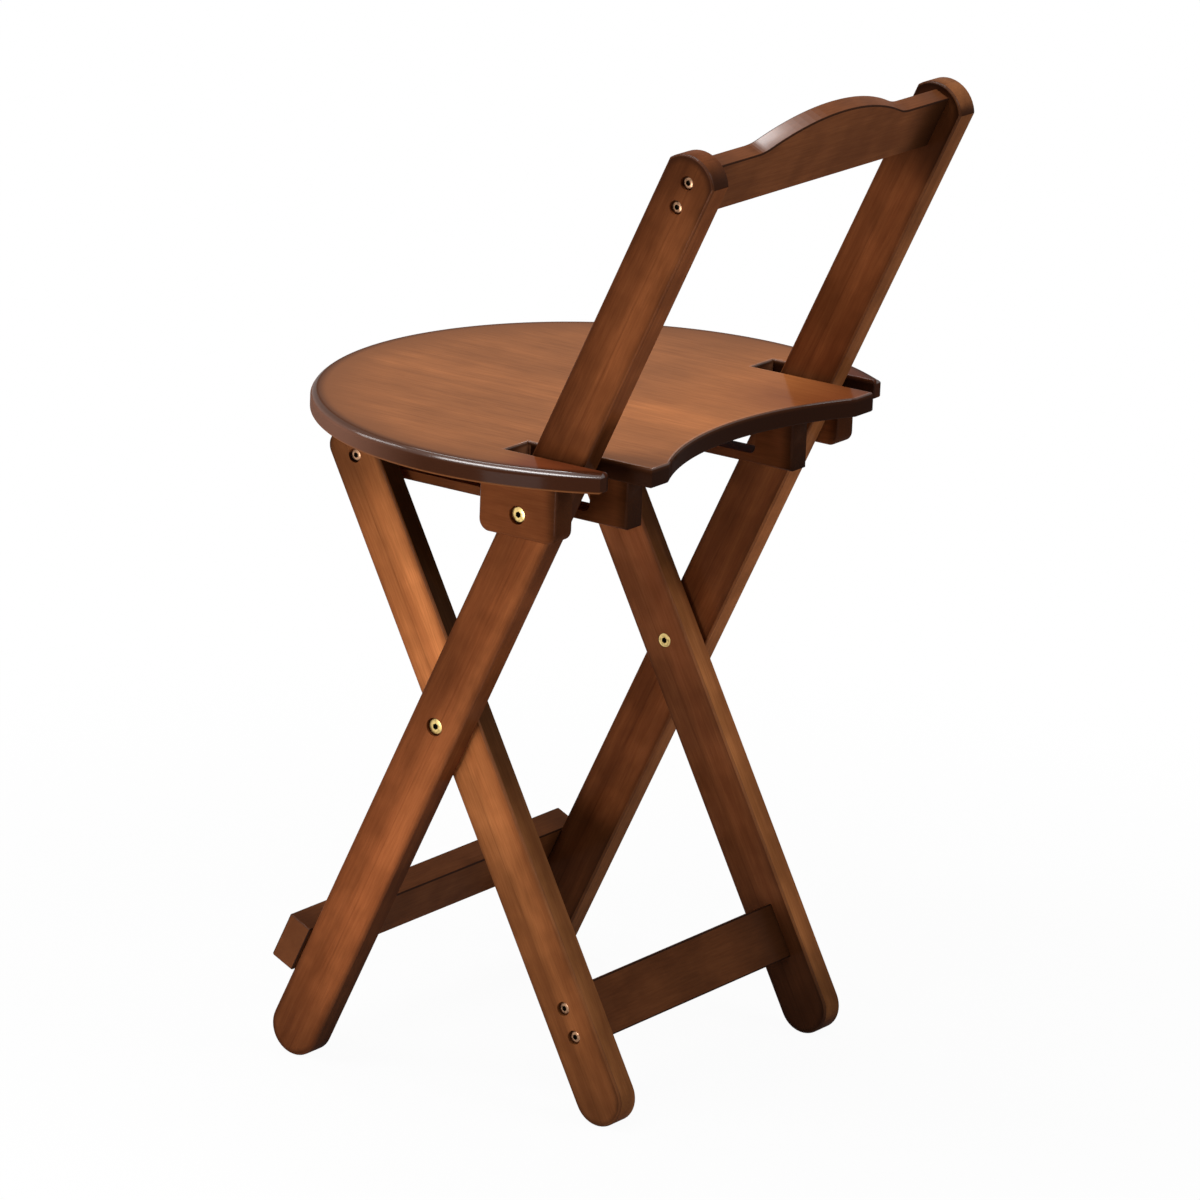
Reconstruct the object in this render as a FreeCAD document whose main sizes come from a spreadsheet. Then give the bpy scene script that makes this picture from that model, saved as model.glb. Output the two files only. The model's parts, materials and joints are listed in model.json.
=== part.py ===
"""Folding stool with a back: two long boards, two short legs, a round seat and its pivots.

Frame: X runs across the stool, the sitter's left is +X, the sitter faces -Y and Z points up.
The origin is on the floor under the middle of the whole stool. All lengths are millimetres.
Each board is drawn along its own length, with its local origin on the cross pivot, and leaned
into place. The seat and what is fixed under it are drawn level, from the seat pivot's axis.
"""
import FreeCAD, Part
import os
import Sketcher

doc = FreeCAD.newDocument("FoldingStool")

# Driving dimensions, each with its alias, value and meaning
DIMENSIONS = [
    ("board_width", 40.0, "long boards and crosswise rails, across their length"),
    ("leg_width", 39.0, "short legs, across their length"),
    ("board_thickness", 19.0, "long boards, short legs and slide rails"),
    ("rail_thickness", 13.0, "crest rail and rear stretcher"),
    ("board_edge", 1.5, "eased edges of the thick boards"),
    ("rail_edge", 1.0, "eased edges of the crest rail, the stretcher and the footrest"),
    ("seat_height", 474.0, "floor to the seat's top"),
    ("seat_thickness", 14.0, "seat board"),
    ("pivot_drop", 23.5, "seat pivots' axis below the seat's underside"),
    ("cross_drop", 171.0, "cross pivots' axis below the seat pivots' axis"),
    ("post_lean", 24.7, "long boards from upright, degrees, tops to the rear"),
    ("leg_lean", 28.2, "short legs from upright, degrees, tops to the front"),
    ("post_spread", 317.0, "across the outer faces of the long boards"),
    ("post_reach", 464.5, "cross pivot to the corners of the long boards' arched tops"),
    ("post_crown", 11.5, "rise of the long boards' arched tops above their corners"),
    ("post_corner_round", 3.0, "radius of the corners beside the arched tops"),
    ("head_reach", 20.0, "short legs' flat top end beyond the slide pin's axis"),
    ("head_round", 11.0, "corner radius of the short legs' top end"),
    ("board_gap", 4.0, "between a long board and its short leg"),
    ("bracket_gap", 1.5, "between a long board and its bracket"),
    ("rail_gap", 7.5, "between a short leg and its slide rail"),
    ("seat_overhang", 25.0, "seat's half width beyond the brackets' outer faces"),
    ("seat_centre_forward", 55.5, "seat's centre in front of the seat pivots"),
    ("seat_rim_round", 5.0, "radius of the seat's top edge round the rim"),
    ("seat_edge", 1.2, "the seat's other eased edges"),
    ("slot_outer_gap", 2.0, "seat slot's wall outside a long board"),
    ("slot_inner_gap", 5.5, "seat slot's wall inside a long board"),
    ("slot_front_gap", 5.2, "slot's front wall beyond half a board's width from the pivot"),
    ("tongue_end", 9.0, "width of the seat's outer tongues at their ends"),
    ("lobe_reach", 77.0, "seat pivots back to the end of the seat's inner part"),
    ("hollow_reach", 49.0, "seat pivots back to the middle of the rear hollow"),
    ("hollow_inset", 20.0, "slot's inner wall to the end of the rear hollow"),
    ("bracket_thickness", 20.0, "outer brackets"),
    ("bracket_length", 64.0, "outer brackets, front to rear, the pivot in the middle"),
    ("bracket_drop", 16.0, "outer brackets' lower face below the pivot"),
    ("bracket_round", 8.0, "outer brackets' lower corners"),
    ("slide_web", 7.0, "slide rails' wood below the slot"),
    ("slide_rear", 40.5, "slide rails' rear end behind the seat pivot"),
    ("slide_front", 26.5, "slide rails' front end in front of the slide pin"),
    ("slot_height", 22.0, "slide slot"),
    ("slot_rear", 9.5, "slide slot's rear end behind the seat pivot"),
    ("slot_corner_share", 0.78, "slot's corner radius as a share of its step down to the narrow end"),
    ("slot_neck", 2.0, "straight part of the slot's narrow front end"),
    ("crest_screw_drop", 7.5, "upper crest screws below the corners of the arched tops"),
    ("crest_screw_pitch", 19.5, "between the two crest screws on a side"),
    ("crest_drop", 34.2, "crest rail's lower edge below the corners of the arched tops"),
    ("hump_rise", 18.0, "crest rail's hump above its shoulders"),
    ("hump_half_width", 84.0, "crest rail's hump, middle to shoulder"),
    ("hump_blend", 35.0, "radius between hump and shoulder"),
    ("footrest_rise", 37.7, "footrest's lower edge above the centre of the foot's round"),
    ("footrest_height", 37.0, "footrest, along the long boards"),
    ("footrest_thickness", 19.5, "footrest, out from the long boards"),
    ("footrest_overhang", 1.8, "footrest's ends beyond the long boards' outer faces"),
    ("stretcher_rise", 37.1, "stretcher's lower edge above the centre of the foot's round"),
    ("stretcher_screw_drop", 10.5, "upper stretcher screws below the stretcher's upper edge"),
    ("stretcher_screw_pitch", 21.0, "between the two stretcher screws on a side"),
    ("sleeve_diameter", 8.0, "pivot sleeves, outer diameter"),
    ("bolt_diameter", 6.0, "pivot bolts, shank diameter"),
    ("bolt_head_diameter", 11.0, "pivot bolts, head diameter"),
    ("bolt_head_height", 3.0, "pivot bolts and sleeves, head height"),
    ("nut_head_diameter", 10.0, "pivot sleeves, head diameter"),
    ("pivot_sink_depth", 4.5, "depth of the pivot bolts' counterbores"),
    ("pivot_socket", 4.0, "hexagon in the pivot bolts' heads, across flats"),
    ("pin_diameter", 9.0, "slide bush where it runs in the slot"),
    ("pin_flange_diameter", 14.0, "slide bush between leg and rail"),
    ("pin_bolt_diameter", 5.0, "slide bolt, shank diameter"),
    ("pin_cap_lap", 2.0, "slide nut's flange beyond the slot, above and below"),
    ("pin_cap_height", 3.0, "slide nut's flange"),
    ("screw_diameter", 5.0, "wood screws, shank diameter"),
    ("screw_head_diameter", 8.0, "wood screws, head diameter"),
    ("screw_head_height", 2.5, "wood screws, head height"),
    ("screw_sink_depth", 4.0, "depth of a wood screw's counterbore"),
    ("screw_bite", 28.0, "length of a wood screw inside the second piece"),
    ("screw_socket", 3.5, "hexagon in the wood screws' heads, across flats"),
    ("seat_screw_bite", 9.0, "length of a seat screw inside the seat board"),
    ("seat_screw_sink", 20.0, "depth of the seat screws' counterbores"),
    ("seat_screw_offset", 18.0, "bracket screws in front of and behind the pivot"),
    ("rail_screw_inset", 12.0, "slide rail screws from the rail's ends"),
    ("washer_diameter", 24.0, "cross pivots' spacer washers"),
    ("small_washer_diameter", 18.0, "seat pivots' washers"),
    ("head_sink_gap", 1.0, "counterbore's wall round the head of a bolt or a screw"),
    ("nut_sink_gap", 0.3, "counterbore's wall round the head of a pivot sleeve"),
    ("running_clearance", 0.1, "radial clearance of a turning or sliding fit, and end float"),
    ("fit_clearance", 0.05, "radial clearance of shanks in their bores"),
]

# Sizes that follow from the driving dimensions, each with its alias and formula
FORMULAS = [
    ("half_board", "=Dimensions.board_width / 2"),
    ("half_leg", "=Dimensions.leg_width / 2"),
    ("underside", "=Dimensions.seat_height - Dimensions.seat_thickness"),
    ("pivot_height", "=underside - Dimensions.pivot_drop"),
    ("cross_height", "=pivot_height - Dimensions.cross_drop"),
    ("pivot_span", "=Dimensions.cross_drop / cos(Dimensions.post_lean)"),
    ("pin_span", "=Dimensions.cross_drop / cos(Dimensions.leg_lean)"),
    ("slide_reach", "=pivot_span * sin(Dimensions.post_lean) + pin_span * sin(Dimensions.leg_lean)"),
    ("post_foot", "=(cross_height - half_board) / cos(Dimensions.post_lean)"),
    ("leg_foot", "=(cross_height - half_leg) / cos(Dimensions.leg_lean)"),
    ("crown_radius", "=(pow(half_board; 2) + pow(Dimensions.post_crown; 2)) / (2 * Dimensions.post_crown)"),
    ("crown_centre", "=Dimensions.post_reach + Dimensions.post_crown - crown_radius"),
    ("corner_inset", "=half_board - Dimensions.post_corner_round"),
    ("corner_centre", "=crown_centre"
     " + sqrt(pow(crown_radius - Dimensions.post_corner_round; 2) - pow(corner_inset; 2))"),
    ("head_end", "=pin_span + Dimensions.head_reach"),
    ("post_outer", "=Dimensions.post_spread / 2"),
    ("post_inner", "=post_outer - Dimensions.board_thickness"),
    ("leg_outer", "=post_inner - Dimensions.board_gap"),
    ("leg_inner", "=leg_outer - Dimensions.board_thickness"),
    ("slide_outer", "=leg_inner - Dimensions.rail_gap"),
    ("slide_inner", "=slide_outer - Dimensions.board_thickness"),
    ("bracket_inner", "=post_outer + Dimensions.bracket_gap"),
    ("bracket_outer", "=bracket_inner + Dimensions.bracket_thickness"),
    ("bracket_height", "=Dimensions.pivot_drop + Dimensions.bracket_drop"),
    ("seat_radius", "=bracket_outer + Dimensions.seat_overhang"),
    ("pivot_behind_cross", "=pivot_span * sin(Dimensions.post_lean)"),
    ("rear_of_cross", "=corner_centre * sin(Dimensions.post_lean)"
     " + corner_inset * cos(Dimensions.post_lean) + Dimensions.post_corner_round"),
    ("front_of_cross", "=seat_radius + Dimensions.seat_centre_forward - pivot_behind_cross"),
    ("cross_place", "=(front_of_cross - rear_of_cross) / 2"),
    ("pivot_place", "=cross_place + pivot_behind_cross"),
    ("slot_outer", "=post_outer + Dimensions.slot_outer_gap"),
    ("slot_inner", "=post_inner - Dimensions.slot_inner_gap"),
    ("slot_front", "=half_board + Dimensions.slot_front_gap"),
    ("tongue_rim", "=slot_outer + Dimensions.tongue_end"),
    ("tongue_reach", "=sqrt(pow(seat_radius; 2) - pow(tongue_rim; 2)) - Dimensions.seat_centre_forward"),
    ("hollow_half_width", "=slot_inner - Dimensions.hollow_inset"),
    ("hollow_depth", "=Dimensions.lobe_reach - Dimensions.hollow_reach"),
    ("hollow_radius", "=(pow(hollow_half_width; 2) + pow(hollow_depth; 2)) / (2 * hollow_depth)"),
    ("neck_radius", "=Dimensions.pin_diameter / 2 + Dimensions.running_clearance"),
    ("neck_end", "=slide_reach - Dimensions.slot_neck"),
    ("slot_half_height", "=Dimensions.slot_height / 2"),
    ("slot_corner", "=(slot_half_height - neck_radius) * Dimensions.slot_corner_share"),
    ("slide_low", "=slot_half_height + Dimensions.slide_web"),
    ("slide_height", "=Dimensions.pivot_drop + slide_low"),
    ("rail_front", "=slide_reach + Dimensions.slide_front"),
    ("half_rail", "=Dimensions.rail_thickness / 2"),
    ("crest_screw_high", "=Dimensions.post_reach - Dimensions.crest_screw_drop"),
    ("crest_bottom", "=Dimensions.post_reach - Dimensions.crest_drop"),
    ("shoulder", "=crest_bottom + Dimensions.board_width"),
    ("hump_radius", "=(pow(Dimensions.hump_half_width; 2) + pow(Dimensions.hump_rise; 2))"
     " / (2 * Dimensions.hump_rise)"),
    ("hump_centre", "=shoulder + Dimensions.hump_rise - hump_radius"),
    ("blend_height", "=shoulder + Dimensions.hump_blend"),
    ("blend_centre", "=sqrt(pow(hump_radius + Dimensions.hump_blend; 2) - pow(blend_height - hump_centre; 2))"),
    ("hump_share", "=hump_radius / (hump_radius + Dimensions.hump_blend)"),
    ("hump_end", "=blend_centre * hump_share"),
    ("hump_end_height", "=hump_centre + (blend_height - hump_centre) * hump_share"),
    ("footrest_low", "=post_foot - Dimensions.footrest_rise"),
    ("footrest_top", "=footrest_low - Dimensions.footrest_height"),
    ("footrest_half", "=post_outer + Dimensions.footrest_overhang"),
    ("stretcher_low", "=leg_foot - Dimensions.stretcher_rise"),
    ("stretcher_top", "=stretcher_low - Dimensions.board_width"),
    ("stretcher_screw_high", "=stretcher_top + Dimensions.stretcher_screw_drop"),
    ("pivot_bore_radius", "=Dimensions.sleeve_diameter / 2 + Dimensions.running_clearance"),
    ("pivot_sink_radius", "=Dimensions.bolt_head_diameter / 2 + Dimensions.head_sink_gap"),
    ("nut_sink_radius", "=Dimensions.nut_head_diameter / 2 + Dimensions.nut_sink_gap"),
    ("screw_sink_radius", "=Dimensions.screw_head_diameter / 2 + Dimensions.head_sink_gap"),
    ("pin_cap_radius", "=slot_half_height + Dimensions.pin_cap_lap"),
    ("sleeve_bore_radius", "=Dimensions.bolt_diameter / 2 + Dimensions.fit_clearance"),
    ("pin_bore_radius", "=Dimensions.pin_bolt_diameter / 2 + Dimensions.fit_clearance"),
    ("screw_bore_radius", "=Dimensions.screw_diameter / 2 + Dimensions.fit_clearance"),
]

SIDES = (("left", 1), ("right", -1))
LEANED_BACK = "-Dimensions.post_lean"
LEANED_FORWARD = "Dimensions.leg_lean"
NODES = []


def fill_sheet(name, rows):
    """Make a spreadsheet with one aliased cell a row."""
    sheet = doc.addObject("Spreadsheet::Sheet", name)
    for index, row in enumerate(rows):
        cell = "A%d" % (index + 1)
        sheet.set(cell, str(row[1]))
        sheet.setAlias(cell, row[0])
        if len(row) > 2:
            sheet.set("B%d" % (index + 1), row[2])
    return sheet


fill_sheet("Dimensions", DIMENSIONS)
layout = fill_sheet("Layout", [(alias, formula) for alias, formula in FORMULAS])
doc.recompute()


def number(expression):
    """The value that an expression has now."""
    return float(layout.evalExpression(expression))


def new_body(label, lean=None, base_y="Layout.cross_place", base_z="Layout.cross_height"):
    """A body whose local origin lies on a pivot's axis; lean turns it about X."""
    body = doc.addObject("PartDesign::Body", label)
    body.Label = label
    if lean:
        body.Placement = FreeCAD.Placement(FreeCAD.Vector(), FreeCAD.Rotation(FreeCAD.Vector(1, 0, 0), 1))
        body.setExpression("Placement.Rotation.Angle", lean)
    body.setExpression("Placement.Base.y", base_y)
    body.setExpression("Placement.Base.z", base_z)
    NODES.append(body)
    return body


def seat_body(label):
    """A body drawn level, its local origin on the seat pivot's axis."""
    return new_body(label, None, "Layout.pivot_place", "Layout.pivot_height")


def new_sketch(body, name, role, offset="0", along=("0", "0")):
    """A sketch on one of the body's origin planes, moved out by offset and along in its plane."""
    sketch = body.newObject("Sketcher::SketchObject", name)
    plane = [feature for feature in body.Origin.OriginFeatures if feature.Role == role][0]
    sketch.AttachmentSupport = (plane, [""])
    sketch.MapMode = "FlatFace"
    for axis, expression in zip("xyz", (along[0], along[1], offset)):
        if expression != "0":
            sketch.setExpression("AttachmentOffset.Base." + axis, expression)
    return sketch


def bind(sketch, constraint, expression):
    """Add a dimension to a sketch and tie it to an expression."""
    index = sketch.addConstraint(constraint)
    sketch.setExpression("Constraints[%d]" % index, expression)


def hold(sketch, geometry, end, axis, expression):
    """Hold a point of a sketch at a signed distance from its origin along one axis."""
    if expression == "0":
        sketch.addConstraint(Sketcher.Constraint("PointOnObject", geometry, end, -2 if axis == "X" else -1))
        return
    value = number(expression)
    if value > 0:
        bind(sketch, Sketcher.Constraint("Distance" + axis, -1, 1, geometry, end, value), expression)
    else:
        bind(sketch, Sketcher.Constraint("Distance" + axis, geometry, end, -1, 1, -value),
             "-(%s)" % expression)


def draw_outline(sketch, points, arcs=None):
    """Draw a closed outline through points; arcs maps a point's index to its arc to the next one.

    An arc is (centre x, centre y, turn), where turn is 1 anticlockwise and -1 clockwise.
    """
    arcs = arcs or {}
    places = [FreeCAD.Vector(number(x), number(y), 0) for x, y in points]
    starts, ends = [], []
    for index, start in enumerate(places):
        end = places[(index + 1) % len(points)]
        if index in arcs:
            centre_x, centre_y, turn = arcs[index]
            centre = FreeCAD.Vector(number(centre_x), number(centre_y), 0)
            first, last = (start, end) if turn > 0 else (end, start)
            circle = Part.Circle(centre, FreeCAD.Vector(0, 0, 1), centre.distanceToPoint(start))
            arc = Part.ArcOfCircle(circle, circle.parameter(first), circle.parameter(last))
            geometry = sketch.addGeometry(arc, False)
            starts.append((geometry, 1 if turn > 0 else 2))
            ends.append((geometry, 2 if turn > 0 else 1))
        else:
            geometry = sketch.addGeometry(Part.LineSegment(start, end), False)
            starts.append((geometry, 1))
            ends.append((geometry, 2))
    for index, (x, y) in enumerate(points):
        sketch.addConstraint(Sketcher.Constraint("Coincident", *ends[index - 1], *starts[index]))
        hold(sketch, *starts[index], "X", x)
        hold(sketch, *starts[index], "Y", y)
    for index, (centre_x, centre_y, _) in arcs.items():
        chord = places[(index + 1) % len(points)] - places[index]
        if abs(chord.x) < abs(chord.y):
            hold(sketch, starts[index][0], 3, "X", centre_x)
        else:
            hold(sketch, starts[index][0], 3, "Y", centre_y)


def draw_circle(sketch, radius):
    """Draw a circle about a sketch's origin."""
    centre = FreeCAD.Vector()
    circle = sketch.addGeometry(Part.Circle(centre, FreeCAD.Vector(0, 0, 1), number(radius)), False)
    sketch.addConstraint(Sketcher.Constraint("Coincident", circle, 3, -1, 1))
    bind(sketch, Sketcher.Constraint("Radius", circle, number(radius)), radius)


def add_pad(body, sketch, length, reverse=False):
    """Raise a sketch into a solid."""
    pad = body.newObject("PartDesign::Pad", "Pad")
    pad.Profile = sketch
    pad.setExpression("Length", length)
    pad.Reversed = reverse
    doc.recompute()
    return pad


def add_pocket(body, sketch, length, reverse=False):
    """Cut a sketch into the body, and check that it takes something away."""
    before = body.Shape.Volume
    pocket = body.newObject("PartDesign::Pocket", "Pocket")
    pocket.Profile = sketch
    pocket.setExpression("Length", length)
    pocket.Reversed = reverse
    doc.recompute()
    if body.Shape.Volume >= before:
        raise ValueError("%s: %s cuts nothing" % (body.Label, sketch.Label))
    return pocket


def round_edges(body, feature, radius, wanted):
    """Round the edges of a feature that wanted() picks."""
    fillet = body.newObject("PartDesign::Fillet", "Fillet")
    fillet.Base = (feature, edge_names(feature, wanted))
    fillet.setExpression("Radius", radius)
    doc.recompute()
    return fillet


def ease_edges(body, feature, size, wanted):
    """Take the sharpness off the edges of a feature that wanted() picks."""
    chamfer = body.newObject("PartDesign::Chamfer", "Chamfer")
    chamfer.Base = (feature, edge_names(feature, wanted))
    chamfer.setExpression("Size", size)
    doc.recompute()
    return chamfer


def edge_names(feature, wanted):
    """Names of a feature's edges that wanted() picks."""
    return ["Edge%d" % (n + 1) for n, edge in enumerate(feature.Shape.Edges) if wanted(edge)]


def is_flat_in(axis):
    """A test for edges that lie in a plane square to an axis: 0 is X, 1 is Y and 2 is Z."""
    def test(edge):
        box = edge.BoundBox
        return (box.XLength, box.YLength, box.ZLength)[axis] < Part.Precision.confusion() * 10
    return test


def cut_bore(body, name, side, face, radius, depth, y, z, inward=True):
    """Bore along X from a face of a board, at y and z in the board's own frame."""
    toward_middle = side if inward else -side
    sketch = new_sketch(body, name, "YZ_Plane", "%d * (%s)" % (side, face), (y, z))
    draw_circle(sketch, radius)
    return add_pocket(body, sketch, depth, toward_middle < 0)


def make_board(body, side, outer, points, arcs):
    """A board of the thick stock: outline in its outer face, padded towards the middle."""
    sketch = new_sketch(body, "Outline", "YZ_Plane", "%d * (%s)" % (side, outer))
    draw_outline(sketch, points, arcs)
    return add_pad(body, sketch, "Dimensions.board_thickness", side > 0)


def make_long_board(name, side):
    """One straight board: back post above the seat and front leg below it."""
    body = new_body(name + "_long_board", LEANED_BACK)
    points = [
        ("-Layout.half_board", "-Layout.post_foot"),
        ("Layout.half_board", "-Layout.post_foot"),
        ("Layout.half_board", "Dimensions.post_reach"),
        ("-Layout.half_board", "Dimensions.post_reach"),
    ]
    arcs = {
        0: ("0", "-Layout.post_foot", 1),
        2: ("0", "Layout.crown_centre", 1),
    }
    board = make_board(body, side, "Layout.post_outer", points, arcs)
    corner_height = number("Dimensions.post_reach")

    def is_top_corner(edge):
        return abs(edge.CenterOfMass.z - corner_height) < Part.Precision.confusion() * 10 and is_flat_in(2)(edge)

    board = round_edges(body, board, "Dimensions.post_corner_round", is_top_corner)
    ease_edges(body, board, "Dimensions.board_edge", is_flat_in(0))
    cut_bore(body, "CrossBore", side, "Layout.post_outer", "Layout.pivot_bore_radius",
             "Dimensions.board_thickness", "0", "0")
    cut_bore(body, "CrossSink", side, "Layout.post_outer", "Layout.pivot_sink_radius",
             "Dimensions.pivot_sink_depth", "0", "0")
    cut_bore(body, "PivotBore", side, "Layout.post_outer", "Layout.pivot_bore_radius",
             "Dimensions.board_thickness", "0", "Layout.pivot_span")
    cut_bore(body, "PivotNutSink", side, "Layout.post_inner", "Layout.nut_sink_radius",
             "Dimensions.bolt_head_height", "0", "Layout.pivot_span", False)
    for number_on_side, place in enumerate(crest_screw_places()):
        label = "CrestScrew%d" % number_on_side
        cut_bore(body, label, side, "Layout.post_outer", "Layout.screw_bore_radius",
                 "Dimensions.board_thickness", "0", place)
        cut_bore(body, label + "Sink", side, "Layout.post_outer", "Layout.screw_sink_radius",
                 "Dimensions.screw_sink_depth", "0", place)
    for number_on_side, place in enumerate(footrest_screw_places()):
        middle = "%d * (Layout.post_outer - Dimensions.board_thickness / 2)" % side
        sketch = new_sketch(body, "FootrestScrew%d" % number_on_side, "XZ_Plane", "Layout.half_board",
                            (middle, place))
        draw_circle(sketch, "Layout.screw_bore_radius")
        add_pocket(body, sketch, "Dimensions.screw_bite")


def crest_screw_places():
    """Heights of the crest screws along the long boards."""
    return ("Layout.crest_screw_high", "Layout.crest_screw_high - Dimensions.crest_screw_pitch")


def footrest_screw_places():
    """Heights of the footrest screws along the long boards."""
    middle = "-(Layout.footrest_top + Dimensions.footrest_height / 2)"
    half_pitch = "Dimensions.footrest_height / 4"
    return ("%s + %s" % (middle, half_pitch), "%s - %s" % (middle, half_pitch))


def stretcher_screw_places():
    """Heights of the stretcher screws along the short legs."""
    high = "-Layout.stretcher_screw_high"
    return (high, high + " - Dimensions.stretcher_screw_pitch")


def make_short_leg(name, side):
    """The rear leg: its foot is behind and its head, with the slide pin, in front."""
    body = new_body(name + "_short_leg", LEANED_FORWARD)
    inset = "(Layout.half_leg - Dimensions.head_round)"
    round_height = "(Layout.head_end - Dimensions.head_round)"
    points = [
        ("-Layout.half_leg", "-Layout.leg_foot"),
        ("Layout.half_leg", "-Layout.leg_foot"),
        ("Layout.half_leg", round_height),
        (inset, "Layout.head_end"),
        ("-" + inset, "Layout.head_end"),
        ("-Layout.half_leg", round_height),
    ]
    arcs = {
        0: ("0", "-Layout.leg_foot", 1),
        2: (inset, round_height, 1),
        4: ("-" + inset, round_height, 1),
    }
    board = make_board(body, side, "Layout.leg_outer", points, arcs)
    ease_edges(body, board, "Dimensions.board_edge", is_flat_in(0))
    cut_bore(body, "CrossBore", side, "Layout.leg_outer", "Layout.pivot_bore_radius",
             "Dimensions.board_thickness", "0", "0")
    cut_bore(body, "CrossNutSink", side, "Layout.leg_inner", "Layout.nut_sink_radius",
             "Dimensions.bolt_head_height", "0", "0", False)
    cut_bore(body, "PinBore", side, "Layout.leg_outer", "Layout.pin_bore_radius",
             "Dimensions.board_thickness", "0", "Layout.pin_span")
    cut_bore(body, "PinSink", side, "Layout.leg_outer", "Layout.screw_sink_radius",
             "Dimensions.screw_sink_depth", "0", "Layout.pin_span")
    for number_on_side, place in enumerate(stretcher_screw_places()):
        label = "StretcherScrew%d" % number_on_side
        cut_bore(body, label, side, "Layout.leg_outer", "Layout.screw_bore_radius",
                 "Dimensions.board_thickness", "0", place)
        cut_bore(body, label + "Sink", side, "Layout.leg_outer", "Layout.screw_sink_radius",
                 "Dimensions.screw_sink_depth", "0", place)


def bore_rail_ends(body, half_length, places):
    """Bores for the screws in both ends of a rail between two boards."""
    for _, side in SIDES:
        for number_on_side, place in enumerate(places):
            cut_bore(body, "EndBore%d" % number_on_side, side, half_length, "Layout.screw_bore_radius",
                     "Dimensions.screw_bite + Dimensions.fit_clearance", "0", place)


def make_crest_rail():
    """Top rail between the long boards, with a shallow hump in the middle."""
    body = new_body("crest_rail", LEANED_BACK)
    sketch = new_sketch(body, "Outline", "XZ_Plane", "-Layout.half_rail")
    points = [
        ("-Layout.post_inner", "Layout.crest_bottom"),
        ("Layout.post_inner", "Layout.crest_bottom"),
        ("Layout.post_inner", "Layout.shoulder"),
        ("Layout.blend_centre", "Layout.shoulder"),
        ("Layout.hump_end", "Layout.hump_end_height"),
        ("-Layout.hump_end", "Layout.hump_end_height"),
        ("-Layout.blend_centre", "Layout.shoulder"),
        ("-Layout.post_inner", "Layout.shoulder"),
    ]
    arcs = {
        3: ("Layout.blend_centre", "Layout.blend_height", -1),
        4: ("0", "Layout.hump_centre", 1),
        5: ("-Layout.blend_centre", "Layout.blend_height", -1),
    }
    draw_outline(sketch, points, arcs)
    pad = add_pad(body, sketch, "Dimensions.rail_thickness")
    half_length = number("Layout.post_inner")

    def runs_along(edge):
        return is_flat_in(1)(edge) and abs(edge.CenterOfMass.x) < half_length - Part.Precision.confusion()

    ease_edges(body, pad, "Dimensions.rail_edge", runs_along)
    bore_rail_ends(body, "Layout.post_inner", crest_screw_places())


def make_bar(body, half_length, low, high, front, rear, ease_ends):
    """A straight bar across the stool, from low to high and front to rear in its body's frame."""
    sketch = new_sketch(body, "Section", "YZ_Plane", "-(%s)" % half_length)
    draw_outline(sketch, [(front, low), (rear, low), (rear, high), (front, high)])
    pad = add_pad(body, sketch, "2 * (%s)" % half_length)
    at_an_end = is_flat_in(0)
    return ease_edges(body, pad, "Dimensions.rail_edge", lambda edge: ease_ends or not at_an_end(edge))


def make_rear_stretcher():
    """Lower rail between the short legs."""
    body = new_body("rear_stretcher", LEANED_FORWARD)
    low = "-Layout.stretcher_low"
    make_bar(body, "Layout.leg_inner", low, "-Layout.stretcher_top", "-Layout.half_rail",
             "Layout.half_rail", False)
    bore_rail_ends(body, "Layout.leg_inner", stretcher_screw_places())


def make_footrest_bar():
    """Bar on the front edges of the long boards, for the feet; it also stops the closing legs."""
    body = new_body("footrest_bar", LEANED_BACK)
    front = "-(Layout.half_board + Dimensions.footrest_thickness)"
    low = "-Layout.footrest_low"
    make_bar(body, "Layout.footrest_half", low, "-Layout.footrest_top", front, "-Layout.half_board",
             True)
    for _, side in SIDES:
        middle = "%d * (Layout.post_outer - Dimensions.board_thickness / 2)" % side
        for place in footrest_screw_places():
            for radius, depth in (("Layout.screw_bore_radius", "Dimensions.footrest_thickness"),
                                  ("Layout.screw_sink_radius", "Dimensions.screw_sink_depth")):
                sketch = new_sketch(body, "ScrewBore", "XZ_Plane", "-(%s)" % front, (middle, place))
                draw_circle(sketch, radius)
                add_pocket(body, sketch, depth)


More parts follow.
